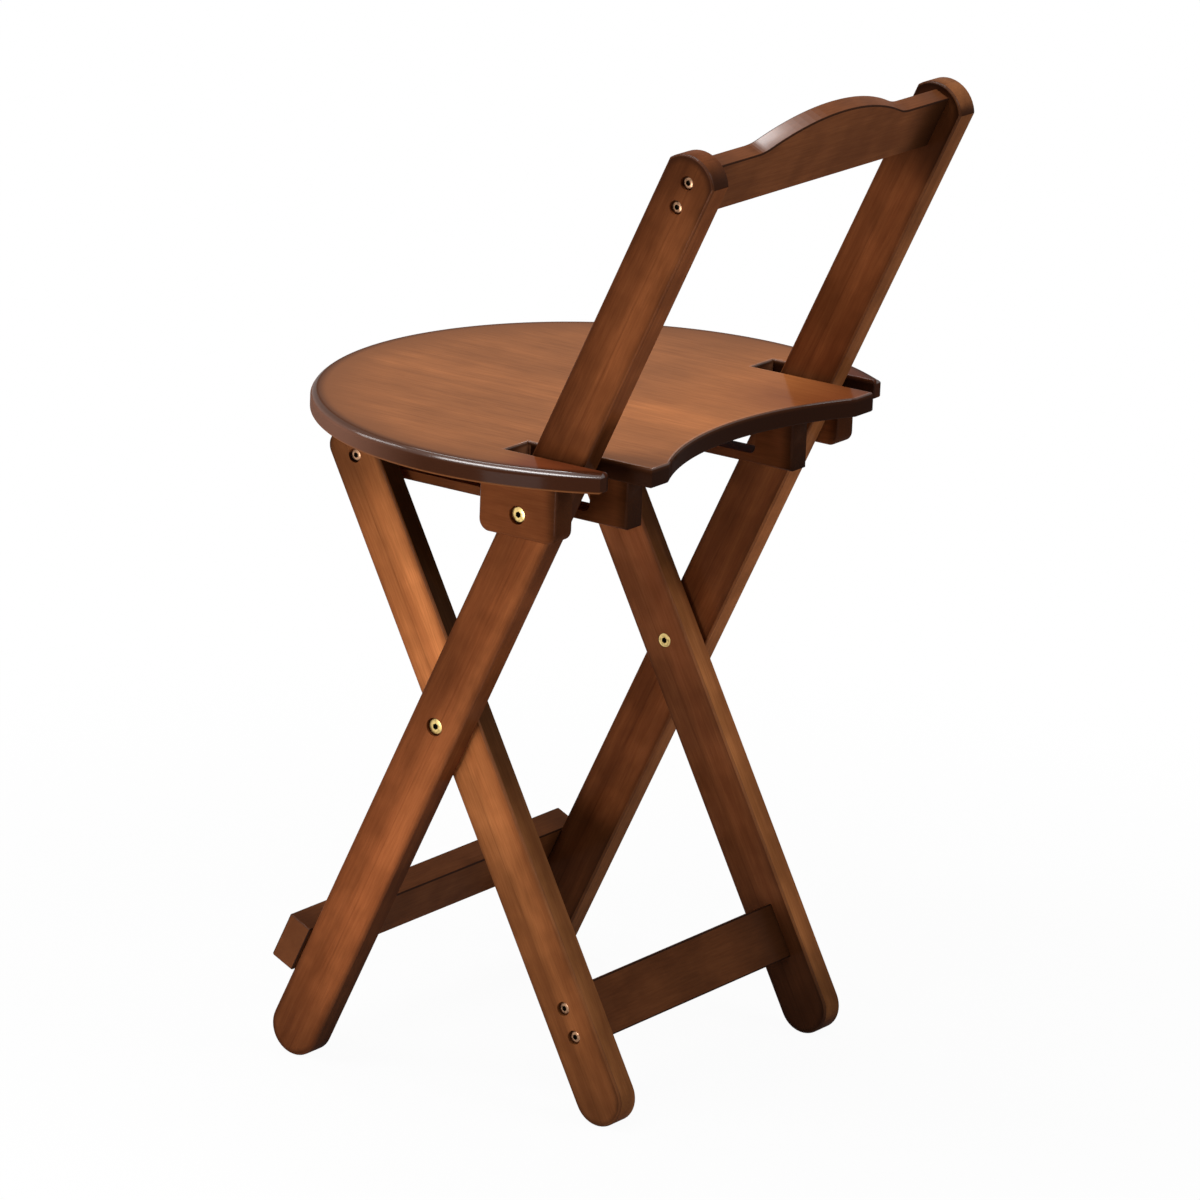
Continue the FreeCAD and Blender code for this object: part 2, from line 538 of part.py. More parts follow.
def make_seat():
    """Round seat, open at the rear for the long boards, with a shallow hollow between them."""
    body = seat_body("seat_board")
    sketch = new_sketch(body, "Outline", "XY_Plane", "Dimensions.pivot_drop")
    points = [
        ("-Layout.tongue_rim", "Layout.tongue_reach"),
        ("Layout.tongue_rim", "Layout.tongue_reach"),
        ("Layout.slot_outer", "Layout.tongue_reach"),
        ("Layout.slot_outer", "-Layout.slot_front"),
        ("Layout.slot_inner", "-Layout.slot_front"),
        ("Layout.slot_inner", "Dimensions.lobe_reach"),
        ("Layout.hollow_half_width", "Dimensions.lobe_reach"),
        ("-Layout.hollow_half_width", "Dimensions.lobe_reach"),
        ("-Layout.slot_inner", "Dimensions.lobe_reach"),
        ("-Layout.slot_inner", "-Layout.slot_front"),
        ("-Layout.slot_outer", "-Layout.slot_front"),
        ("-Layout.slot_outer", "Layout.tongue_reach"),
    ]
    arcs = {
        0: ("0", "-Dimensions.seat_centre_forward", 1),
        6: ("0", "Dimensions.hollow_reach + Layout.hollow_radius", -1),
    }
    draw_outline(sketch, points, arcs)
    pad = add_pad(body, sketch, "Dimensions.seat_thickness")
    top = number("Dimensions.pivot_drop + Dimensions.seat_thickness")
    middle = top - number("Dimensions.seat_thickness") / 2

    def is_rim(edge):
        return edge.Curve.TypeId == "Part::GeomCircle" and edge.CenterOfMass.y < 0

    def is_top_rim(edge):
        return is_flat_in(2)(edge) and edge.CenterOfMass.z > middle and is_rim(edge)

    rim = round_edges(body, pad, "Dimensions.seat_rim_round", is_top_rim)

    def is_other_edge(edge):
        return is_flat_in(2)(edge) and abs(edge.CenterOfMass.z - middle) > middle / 10 and not (
            edge.CenterOfMass.z > middle and is_rim(edge)) and edge.Length > number("Dimensions.seat_rim_round")

    ease_edges(body, rim, "Dimensions.seat_edge", is_other_edge)
    for x, y in seat_screw_places():
        seat_sketch = new_sketch(body, "ScrewBore", "XY_Plane", "Dimensions.pivot_drop", (x, y))
        draw_circle(seat_sketch, "Layout.screw_bore_radius")
        add_pocket(body, seat_sketch, "Dimensions.seat_screw_bite + Dimensions.fit_clearance", True)


def bracket_screw_places(side):
    """The two screws that hold a bracket to the seat, from the seat pivot."""
    x = "%d * (Layout.bracket_inner + Dimensions.bracket_thickness / 2)" % side
    return [(x, "-Dimensions.seat_screw_offset"), (x, "Dimensions.seat_screw_offset")]


def rail_screw_places(side):
    """The two screws that hold a slide rail to the seat, from the seat pivot."""
    x = "%d * (Layout.slide_inner + Dimensions.board_thickness / 2)" % side
    return [(x, "-(Layout.rail_front - Dimensions.rail_screw_inset)"),
            (x, "Dimensions.slide_rear - Dimensions.rail_screw_inset")]


def seat_screw_places():
    """Every screw that goes up into the seat."""
    return [place for _, side in SIDES for place in bracket_screw_places(side) + rail_screw_places(side)]


def bore_from_below(body, height, places):
    """Deep counterbored bores up through a piece that is fixed under the seat."""
    for x, y in places:
        for radius, depth in (("Layout.screw_bore_radius", height),
                              ("Layout.screw_sink_radius", "Dimensions.seat_screw_sink")):
            sketch = new_sketch(body, "ScrewBore", "XY_Plane", "Dimensions.pivot_drop - %s" % height, (x, y))
            draw_circle(sketch, radius)
            add_pocket(body, sketch, depth, True)


def make_outer_bracket(name, side):
    """Block outside a long board, under the seat's rim, that carries the seat pivot."""
    body = seat_body(name + "_outer_bracket")
    half = "(Dimensions.bracket_length / 2)"
    low = "(-Dimensions.bracket_drop)"
    corner = "Dimensions.bracket_round"
    points = [
        ("-%s + %s" % (half, corner), low),
        ("%s - %s" % (half, corner), low),
        (half, "%s + %s" % (low, corner)),
        (half, "Dimensions.pivot_drop"),
        ("-" + half, "Dimensions.pivot_drop"),
        ("-" + half, "%s + %s" % (low, corner)),
    ]
    arcs = {
        1: ("%s - %s" % (half, corner), "%s + %s" % (low, corner), 1),
        5: ("-%s + %s" % (half, corner), "%s + %s" % (low, corner), 1),
    }
    sketch = new_sketch(body, "Outline", "YZ_Plane", "%d * Layout.bracket_outer" % side)
    draw_outline(sketch, points, arcs)
    pad = add_pad(body, sketch, "Dimensions.bracket_thickness", side > 0)
    ease_under_seat(body, pad)
    cut_bore(body, "PivotBore", side, "Layout.bracket_outer", "Layout.pivot_bore_radius",
             "Dimensions.bracket_thickness", "0", "0")
    cut_bore(body, "PivotSink", side, "Layout.bracket_outer", "Layout.pivot_sink_radius",
             "Dimensions.pivot_sink_depth", "0", "0")
    bore_from_below(body, "Layout.bracket_height", bracket_screw_places(side))


def ease_under_seat(body, pad):
    """Ease a block's edges in its outer and inner faces, but not along the seat's underside."""
    top = number("Dimensions.pivot_drop")

    def wanted(edge):
        return is_flat_in(0)(edge) and edge.BoundBox.ZMin < top - Part.Precision.confusion()

    return ease_edges(body, pad, "Dimensions.board_edge", wanted)


def make_slide_rail(name, side):
    """Rail under the seat with the long slot that the slide pin runs in.

    The slot is tall, because the pin rises in it as the legs close. Its narrow front end holds
    the pin snugly while the stool is open.
    """
    body = seat_body(name + "_slide_rail")
    low = "-Layout.slide_low"
    sketch = new_sketch(body, "Outline", "YZ_Plane", "%d * Layout.slide_outer" % side)
    draw_outline(sketch, [
        ("-Layout.rail_front", low), ("Dimensions.slide_rear", low),
        ("Dimensions.slide_rear", "Dimensions.pivot_drop"), ("-Layout.rail_front", "Dimensions.pivot_drop")])
    pad = add_pad(body, sketch, "Dimensions.board_thickness", side > 0)
    ease_under_seat(body, pad)
    corner = "Layout.slot_corner"
    half = "Layout.slot_half_height"
    neck = "Layout.neck_radius"
    front, rear = "-Layout.neck_end", "Dimensions.slot_rear"
    points = [
        ("-Layout.slide_reach", "-" + neck), (front, "-" + neck),
        (front, "-(%s - %s)" % (half, corner)), ("%s + %s" % (front, corner), "-" + half),
        ("%s - %s" % (rear, corner), "-" + half), (rear, "-(%s - %s)" % (half, corner)),
        (rear, "%s - %s" % (half, corner)), ("%s - %s" % (rear, corner), half),
        ("%s + %s" % (front, corner), half), (front, "%s - %s" % (half, corner)),
        (front, neck), ("-Layout.slide_reach", neck),
    ]
    arcs = {
        2: ("%s + %s" % (front, corner), "-(%s - %s)" % (half, corner), 1),
        4: ("%s - %s" % (rear, corner), "-(%s - %s)" % (half, corner), 1),
        6: ("%s - %s" % (rear, corner), "%s - %s" % (half, corner), 1),
        8: ("%s + %s" % (front, corner), "%s - %s" % (half, corner), 1),
        11: ("-Layout.slide_reach", "0", 1),
    }
    slot = new_sketch(body, "Slot", "YZ_Plane", "%d * Layout.slide_outer" % side)
    draw_outline(slot, points, arcs)
    add_pocket(body, slot, "Dimensions.board_thickness", side < 0)
    bore_from_below(body, "Layout.slide_height", rail_screw_places(side))


def turned(label, steps, bore=None, socket=None, socket_depth=None):
    """A turned piece along local Z, its end face at zero and its body below; steps are (radius, length).

    A hexagon socket sinks in from the end face, and a bore comes up from the far end.
    """
    pieces = []
    depth = "0"
    for index, (radius, length) in enumerate(steps):
        depth = "%s + %s" % (depth, length)
        piece = doc.addObject("Part::Cylinder", "%sStep%d" % (label, index))
        piece.setExpression("Radius", radius)
        piece.setExpression("Height", length)
        piece.setExpression("Placement.Base.z", "-(%s)" % depth)
        pieces.append(piece)
    solid = pieces[0]
    if len(pieces) > 1:
        solid = doc.addObject("Part::MultiFuse", label + "Turned")
        solid.Shapes = pieces
        solid.Refine = True
    if bore:
        tool = doc.addObject("Part::Cylinder", label + "BoreTool")
        tool.setExpression("Radius", bore[0])
        tool.setExpression("Height", bore[1])
        tool.setExpression("Placement.Base.z", "-(%s)" % depth)
        solid = subtract(solid, tool, label + "Bored")
    if socket:
        tool = doc.addObject("Part::Prism", label + "SocketTool")
        tool.Polygon = 6
        tool.setExpression("Circumradius", "%s / sqrt(3)" % socket)
        tool.setExpression("Height", socket_depth)
        tool.setExpression("Placement.Base.z", "-(%s)" % socket_depth)
        solid = subtract(solid, tool, label + "Socketed")
    return solid


def subtract(base, tool, label):
    """One shape less another."""
    cut = doc.addObject("Part::Cut", label)
    cut.Base = base
    cut.Tool = tool
    return cut


def outward(side):
    """The turn that points a turned piece's end face out along X on one side."""
    return FreeCAD.Rotation(FreeCAD.Vector(0, 0, 1), FreeCAD.Vector(side, 0, 0))


def place_copies(label, source, places):
    """A node of copies of one piece; places are (x, y, z, rotation, angle expression or None)."""
    links = []
    for index, (x, y, z, rotation, angle) in enumerate(places):
        link = doc.addObject("App::Link", "%s_%d" % (label, index))
        link.LinkedObject = source
        link.Placement = FreeCAD.Placement(FreeCAD.Vector(), rotation)
        if angle:
            link.setExpression("Placement.Rotation.Angle", angle)
        for axis, expression in zip("xyz", (x, y, z)):
            link.setExpression("Placement.Base." + axis, expression)
        links.append(link)
    node = doc.addObject("Part::Compound", label)
    node.Label = label
    node.Links = links
    NODES.append(node)
    return node


def on_long_board(reach, front="0"):
    """World y and z of a point on the long boards: reach up from the cross pivot, front of the middle."""
    y = "Layout.cross_place + (%s) * sin(Dimensions.post_lean) - (%s) * cos(Dimensions.post_lean)"
    z = "Layout.cross_height + (%s) * cos(Dimensions.post_lean) + (%s) * sin(Dimensions.post_lean)"
    return y % (reach, front), z % (reach, front)


def on_short_leg(reach):
    """World y and z of a point on the short legs' middle line: reach up from the cross pivot."""
    return ("Layout.cross_place - (%s) * sin(Dimensions.leg_lean)" % reach,
            "Layout.cross_height + (%s) * cos(Dimensions.leg_lean)" % reach)


def make_pivot(name, piece, outer, inner, y, z, washer_radius, washer_place, washer_length):
    """Bolt, sleeve nut and washer of one pair of pivots, between an outer and an inner face."""
    through = "(%s - %s)" % (outer, inner)
    sleeve_length = "(%s - Dimensions.pivot_sink_depth - Dimensions.bolt_head_height)" % through
    bolt_length = "(%s - Dimensions.bolt_head_height)" % sleeve_length
    bolt = turned(name + "Bolt", [
        ("Dimensions.bolt_head_diameter / 2", "Dimensions.bolt_head_height"),
        ("Dimensions.bolt_diameter / 2", bolt_length)],
        socket="Dimensions.pivot_socket", socket_depth="Dimensions.bolt_head_height * 2 / 3")
    nut = turned(name + "Nut", [
        ("Dimensions.nut_head_diameter / 2", "Dimensions.bolt_head_height"),
        ("Dimensions.sleeve_diameter / 2", sleeve_length)],
        bore=("Layout.sleeve_bore_radius", sleeve_length),
        socket="Dimensions.pivot_socket", socket_depth="Dimensions.bolt_head_height * 2 / 3")
    ring = turned(name + "Ring", [(washer_radius, washer_length)],
                  bore=("Layout.pivot_bore_radius", washer_length))
    head_seat = "(%s - Dimensions.pivot_sink_depth + Dimensions.bolt_head_height)" % outer
    for side_name, side in SIDES:
        place_copies("%s_%s_bolt" % (side_name, piece), bolt,
                     [("%d * %s" % (side, head_seat), y, z, outward(side), None)])
        place_copies("%s_%s_nut" % (side_name, piece), nut,
                     [("%d * (%s)" % (side, inner), y, z, outward(-side), None)])
        place_copies("%s_%s_washer" % (side_name, piece), ring,
                     [("%d * (%s)" % (side, washer_place), y, z, outward(side), None)])


def make_slide_pins():
    """Bolt, stepped bush and flanged nut that run in each slide rail's slot."""
    float_gap = "Dimensions.running_clearance"
    flange_length = "(Dimensions.rail_gap - %s)" % float_gap
    barrel_length = "(Dimensions.board_thickness + 2 * %s)" % float_gap
    bush = turned("PinBush", [
        ("Dimensions.pin_flange_diameter / 2", flange_length),
        ("Dimensions.pin_diameter / 2", barrel_length)],
        bore=("Layout.pin_bore_radius", "(%s + %s)" % (flange_length, barrel_length)))
    shank = "(Dimensions.board_thickness - Dimensions.screw_sink_depth + %s + %s)" % (flange_length, barrel_length)
    bolt = turned("PinBolt", [
        ("Dimensions.screw_head_diameter / 2", "Dimensions.screw_head_height"),
        ("Dimensions.pin_bolt_diameter / 2", shank)],
        socket="Dimensions.screw_socket", socket_depth="Dimensions.screw_head_height * 2 / 3")
    cap = turned("PinCap", [("Layout.pin_cap_radius", "Dimensions.pin_cap_height")],
                 socket="Dimensions.pivot_socket", socket_depth="Dimensions.pin_cap_height * 2 / 3")
    y, z = on_short_leg("Layout.pin_span")
    head_seat = "(Layout.leg_outer - Dimensions.screw_sink_depth + Dimensions.screw_head_height)"
    cap_face = "(Layout.slide_inner - %s - Dimensions.pin_cap_height)" % float_gap
    for side_name, side in SIDES:
        place_copies(side_name + "_slide_bolt", bolt,
                     [("%d * %s" % (side, head_seat), y, z, outward(side), None)])
        place_copies(side_name + "_slide_bush", bush,
                     [("%d * Layout.leg_inner" % side, y, z, outward(side), None)])
        place_copies(side_name + "_slide_nut", cap,
                     [("%d * %s" % (side, cap_face), y, z, outward(-side), None)])


def make_screws():
    """The five sets of wood screws."""
    def screw(name, length):
        return turned(name, [
            ("Dimensions.screw_head_diameter / 2", "Dimensions.screw_head_height"),
            ("Dimensions.screw_diameter / 2", length)],
            socket="Dimensions.screw_socket", socket_depth="Dimensions.screw_head_height * 2 / 3")

    side_screw = screw("SideScrew", "(Dimensions.board_thickness - Dimensions.screw_sink_depth"
                       " + Dimensions.screw_bite)")
    seat_in = "-(Dimensions.screw_sink_depth - Dimensions.screw_head_height)"
    crest, stretcher = [], []
    for _, side in SIDES:
        for place in crest_screw_places():
            y, z = on_long_board(place)
            crest.append(("%d * (Layout.post_outer %s)" % (side, seat_in), y, z, outward(side), None))
        for place in stretcher_screw_places():
            y, z = on_short_leg(place)
            stretcher.append(("%d * (Layout.leg_outer %s)" % (side, seat_in), y, z, outward(side), None))
    place_copies("crest_screws", side_screw, crest)
    place_copies("stretcher_screws", side_screw, stretcher)

    front_screw = screw("FrontScrew", "(Dimensions.footrest_thickness - Dimensions.screw_sink_depth"
                        " + Dimensions.screw_bite)")
    footrest = []
    for _, side in SIDES:
        for place in footrest_screw_places():
            face = "Layout.half_board + Dimensions.footrest_thickness %s" % seat_in
            y, z = on_long_board(place, face)
            x = "%d * (Layout.post_outer - Dimensions.board_thickness / 2)" % side
            footrest.append((x, y, z, FreeCAD.Rotation(FreeCAD.Vector(1, 0, 0), 1),
                             "90 - Dimensions.post_lean"))
    place_copies("footrest_screws", front_screw, footrest)

    for name, height, places in (("bracket", "Layout.bracket_height", bracket_screw_places),
                                 ("rail", "Layout.slide_height", rail_screw_places)):
        seat_screw = screw(name.title() + "Screw", "(%s - Dimensions.seat_screw_sink"
                           " + Dimensions.seat_screw_bite)" % height)
        face = "(Layout.underside - %s + Dimensions.seat_screw_sink - Dimensions.screw_head_height)" % height
        copies = []
        for _, side in SIDES:
            for x, y in places(side):
                copies.append((x, "Layout.pivot_place + (%s)" % y, face,
                               FreeCAD.Rotation(FreeCAD.Vector(1, 0, 0), 1), "180"))
        place_copies(name + "_screws", seat_screw, copies)


def check_and_write():
    """Stop on any failed object, then write each piece to its own file."""
    doc.recompute()
    for item in doc.Objects:
        if "Invalid" in item.State or "Error" in item.State:
            raise ValueError("%s did not build" % item.Label)
    os.makedirs("parts", exist_ok=True)
    for node in NODES:
        shape = node.Shape
        if shape.isNull() or not shape.isValid():
            raise ValueError("%s has no valid shape" % node.Label)
        shape.exportStep("parts/%s.step" % node.Label)
        print("%s: %d solid(s), %.1f cm3" % (node.Label, len(shape.Solids), shape.Volume / 1000))


make_seat()
for side_name, side in SIDES:
    make_long_board(side_name, side)
    make_short_leg(side_name, side)
    make_outer_bracket(side_name, side)
    make_slide_rail(side_name, side)
make_crest_rail()
make_footrest_bar()
make_rear_stretcher()
cross_y, cross_z = "Layout.cross_place", "Layout.cross_height"
make_pivot("Cross", "cross", "Layout.post_outer", "Layout.leg_inner", cross_y, cross_z,
           "Dimensions.washer_diameter / 2", "Layout.post_inner", "Dimensions.board_gap")
make_pivot("Seat", "seat_pivot", "Layout.bracket_outer", "Layout.post_inner",
           "Layout.pivot_place", "Layout.pivot_height",
           "Dimensions.small_washer_diameter / 2", "Layout.bracket_inner", "Dimensions.bracket_gap")
make_slide_pins()
make_screws()
check_and_write()
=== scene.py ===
"""Dresses the folding stool: stained boards, a burnt-edged seat, brass fasteners and a studio.

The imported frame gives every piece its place. Each operator makes one piece, or a group of
like pieces, and the panel lists them in the order in which main() calls them.
"""
import json
import math

import bmesh
import bpy
from mathutils import Matrix, Vector


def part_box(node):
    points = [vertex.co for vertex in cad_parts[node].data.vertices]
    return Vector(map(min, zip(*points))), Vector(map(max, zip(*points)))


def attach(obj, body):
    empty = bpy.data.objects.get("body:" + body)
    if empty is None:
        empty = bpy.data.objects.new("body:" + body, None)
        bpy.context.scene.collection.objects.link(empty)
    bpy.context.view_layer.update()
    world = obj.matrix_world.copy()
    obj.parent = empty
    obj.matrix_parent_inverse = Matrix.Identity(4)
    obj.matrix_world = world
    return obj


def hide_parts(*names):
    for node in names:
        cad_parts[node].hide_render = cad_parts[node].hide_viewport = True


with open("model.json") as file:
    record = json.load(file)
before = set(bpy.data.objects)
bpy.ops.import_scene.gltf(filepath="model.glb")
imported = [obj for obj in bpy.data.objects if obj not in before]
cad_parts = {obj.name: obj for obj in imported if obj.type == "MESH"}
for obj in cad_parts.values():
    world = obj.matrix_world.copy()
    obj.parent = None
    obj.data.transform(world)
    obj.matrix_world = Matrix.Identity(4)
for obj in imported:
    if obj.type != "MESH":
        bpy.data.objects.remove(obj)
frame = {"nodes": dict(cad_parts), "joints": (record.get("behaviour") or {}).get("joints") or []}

bl_info = {
    "name": "Folding stool with a back",
    "version": (1, 0, 0),
    "blender": (4, 5, 0),
    "location": "3D View > Sidebar > Stool",
    "description": "Makes the looks of a folding stool round its packed frame",
    "category": "Object",
}

# The sitter's left is +X; the long boards lean back and the short legs lean the other way.
SIDES = (("left", 1), ("right", -1))
POST_LEAN = math.radians(24.7)
LEG_LEAN = math.radians(-28.2)
LYING = math.radians(-90)
NO_TINT = (1.0, 1.0, 1.0)


def joint_place(name):
    """Where a joint's axis crosses the middle plane."""
    return Vector([joint for joint in frame["joints"] if joint["name"] == name][0]["pos_m"])


CROSS = joint_place("leg_fold")
PIVOT = joint_place("seat_fold")


class StoolSizes(bpy.types.PropertyGroup):
    """Sizes that a user would change in the finished pieces."""
    seat_round: bpy.props.FloatProperty(
        name="Seat rim", description="Radius of the seat's upper rim", default=0.005, unit="LENGTH")
    edge_round: bpy.props.FloatProperty(
        name="Eased edges", description="Radius of the seat's other edges", default=0.0014, unit="LENGTH")
    seat_steps: bpy.props.IntProperty(
        name="Rim steps", description="Facets round the seat's whole rim", default=192, min=48)
    thread_pitch: bpy.props.FloatProperty(
        name="Thread pitch", description="Pitch of the wood screws' threads", default=0.0022, unit="LENGTH")
    head_round: bpy.props.FloatProperty(
        name="Head rounding", description="Rounded shoulder of the fasteners' heads", default=0.0007,
        unit="LENGTH")
    grain_width: bpy.props.FloatProperty(
        name="Grain", description="Spacing of the wood's lengthwise figure", default=0.006, unit="LENGTH")


class StoolColours(bpy.types.PropertyGroup):
    """Colours that a user would change."""
    board: bpy.props.FloatVectorProperty(
        name="Boards", description="Stained boards away from their edges", subtype="COLOR",
        default=(0.190, 0.054, 0.017))
    board_streak: bpy.props.FloatVectorProperty(
        name="Board streaks", description="Light lengthwise streaks in the boards", subtype="COLOR",
        default=(0.310, 0.098, 0.032))
    board_burnt: bpy.props.FloatVectorProperty(
        name="Board edges", description="Darker stain towards the boards' edges", subtype="COLOR",
        default=(0.060, 0.018, 0.007))
    rail_edge: bpy.props.FloatVectorProperty(
        name="Rail edges", description="Nearly black line along the rails' eased edges", subtype="COLOR",
        default=(0.020, 0.008, 0.005))
    seat: bpy.props.FloatVectorProperty(
        name="Seat", description="Lighter stain in the middle of the seat", subtype="COLOR",
        default=(0.348, 0.121, 0.038))
    seat_burnt: bpy.props.FloatVectorProperty(
        name="Seat rim", description="Burnt stain round the seat's rim", subtype="COLOR",
        default=(0.045, 0.014, 0.006))
    # Painted reflection: a lighter, greyer colour on the seat's side round its front.
    front_side_sheen: bpy.props.FloatVectorProperty(
        name="Seat side", description="Worn stain on the seat's side, round its front", subtype="COLOR",
        default=(0.200, 0.092, 0.060))
    # Painted shade, darker and redder, on the seat's right rear lobe, where the right post takes light and
    # reflection from it.
    lobe_shade: bpy.props.FloatVectorProperty(
        name="Seat rear", description="Redder stain on the seat's right rear lobe", subtype="COLOR",
        default=(0.172, 0.042, 0.013))
    # Painted shade, deep red, on the tongues outside the slots, beside the posts.
    tongue_shade: bpy.props.FloatVectorProperty(
        name="Seat tongues", description="Deep red stain on the tongues outside the slots", subtype="COLOR",
        default=(0.150, 0.030, 0.010))
    # Painted light on the lit front ends of the slots, lighter than their burnt sides.
    slot_end: bpy.props.FloatVectorProperty(
        name="Slot ends", description="Bare sawn wood at the slots' front ends", subtype="COLOR",
        default=(0.27, 0.115, 0.055))
    brass: bpy.props.FloatVectorProperty(
        name="Brass", description="Heads and nuts of the pivots", subtype="COLOR",
        default=(0.86, 0.62, 0.24))
    bronze: bpy.props.FloatVectorProperty(
        name="Bronze", description="Heads of the screws in the boards", subtype="COLOR",
        default=(0.36, 0.20, 0.115))
    steel: bpy.props.FloatVectorProperty(
        name="Steel", description="Plated nuts, washers and bushes", subtype="COLOR",
        default=(0.55, 0.54, 0.52))
    # Painted shade, near black, in the fasteners' hexagon sockets.
    socket: bpy.props.FloatVectorProperty(
        name="Sockets", description="Dirt in the fasteners' hexagon sockets", subtype="COLOR",
        default=(0.012, 0.008, 0.005))


def sizes():
    """The sizes kept in the scene."""
    return bpy.context.scene.stool_sizes


def colours():
    """The colours kept in the scene."""
    return bpy.context.scene.stool_colours


def shaded(colour, share):
    """A colour times a share."""
    return tuple(part * share for part in colour)


# Node trees

WOOD_ROUGHNESS = (0.40, 0.52)       # under the lacquer, on the fibres and between them
SQUARELY = (0.5, 0.9)               # how far a face looks one way, from partly to squarely
# Shares of the wood's colour: between its fibres and on them, in its dull and bright clouds,
# in its pores, on a glue line and as painted light on the seat's lighter rear.
FIBRE_TONES = ((0.55, 0.50, 0.46), (1.28, 1.30, 1.34))
CLOUD_TONES = ((0.72, 0.70, 0.68), (1.26, 1.28, 1.30))
PORE_TONE = (0.40, 0.33, 0.30)
GLUE_TONE = (0.35, 0.30, 0.28)
REAR_LIGHT_TONE = (1.26, 1.24, 1.16)
# Stain across a board of two glued strips: place in half widths, and share of the colour.
STRIP_TONES = ((-1.0, 0.86), (-0.30, 0.87), (0.20, 1.10), (1.0, 1.02))
# Where the seat's stain changes, in metres inwards from its rim or from its openings.
RIM_SHADE = (0.002, 0.050)
RIM_BURN = (0.003, 0.012)
OPENING_BURN = (0.0002, 0.0016)
UNDERSIDE = (0.002, 0.008)


class Tree:
    """A small helper that places nodes and joins them."""

    def __init__(self, tree):
        self.tree = tree

    def node(self, kind, settings=None, **links):
        """Add a node. Settings are its own; links go by the input's name or _number."""
        made = self.tree.nodes.new(kind)
        for key, value in (settings or {}).items():
            setattr(made, key, value)
        for key, value in links.items():
            place = int(key[1:]) if key[0] == "_" else key.replace("_", " ")
            self.feed(value, made.inputs[place])
        return made

    def feed(self, value, socket):
        """Join a node or a socket to an input, or write a plain value there."""
        if isinstance(value, bpy.types.Node):
            value = value.outputs[0]
        if isinstance(value, bpy.types.NodeSocket):
            self.tree.links.new(value, socket)
        elif value is not None:
            if hasattr(value, "__len__") and len(value) == 3 and socket.type == "RGBA":
                value = (*value, 1.0)
            socket.default_value = value

    def math(self, operation, first, second=None, third=None):
        """A Math node on up to three numbers."""
        made = self.node("ShaderNodeMath", {"operation": operation})
        for index, value in enumerate((first, second, third)):
            self.feed(value, made.inputs[index])
        return made.outputs[0]

    def ramp_between(self, value, low, high, smooth=True):
        """0 below low and 1 above high, with a soft step between them."""
        made = self.node("ShaderNodeMapRange", {"interpolation_type": "SMOOTHSTEP" if smooth else "LINEAR"})
        for index, part in enumerate((value, low, high, 0.0, 1.0)):
            self.feed(part, made.inputs[index])
        return made.outputs[0]

    def times(self, first, second):
        """The product of two numbers; for two masks, 1 only where both are."""
        return self.math("MULTIPLY", first, second)

    def outside(self, value, low, high):
        """1 below low and 0 above high, the reverse of ramp_between."""
        return self.math("SUBTRACT", 1.0, self.ramp_between(value, low, high))

    def length(self, first, second):
        """The length of two parts at right angles."""
        return self.math("SQRT", self.math("ADD", self.times(first, first), self.times(second, second)))

    def mix(self, share, first, second, blend="MIX"):
        """A blend of two colours."""
        made = self.node("ShaderNodeMix", {"data_type": "RGBA", "blend_type": blend})
        self.feed(share, made.inputs[0])
        self.feed(first, made.inputs[6])
        self.feed(second, made.inputs[7])
        return made.outputs[2]

    def split(self, vector):
        """A vector's three parts."""
        return self.node("ShaderNodeSeparateXYZ", _0=vector).outputs

    def join(self, x, y, z):
        """A vector of three parts."""
        return self.node("ShaderNodeCombineXYZ", _0=x, _1=y, _2=z).outputs[0]

    def noise(self, vector, scale, detail=4.0, rough=0.55, distortion=0.0):
        """A noise pattern's value."""
        made = self.node("ShaderNodeTexNoise", _0=vector)
        made.inputs["Scale"].default_value = scale
        made.inputs["Detail"].default_value = detail
        made.inputs["Roughness"].default_value = rough
        made.inputs["Distortion"].default_value = distortion
        return made.outputs[0]


def new_group(name, kind, inputs, outputs):
    """A node group with named sockets; each is (name, kind, default or None)."""
    tree = bpy.data.node_groups.new(name, kind)
    for in_out, rows in (("INPUT", inputs), ("OUTPUT", outputs)):
        for label, socket, default in rows:
            made = tree.interface.new_socket(label, in_out=in_out, socket_type=socket)
            if default is not None:
                made.default_value = default
    helper = Tree(tree)
    return helper, tree.nodes.new("NodeGroupInput"), tree.nodes.new("NodeGroupOutput")


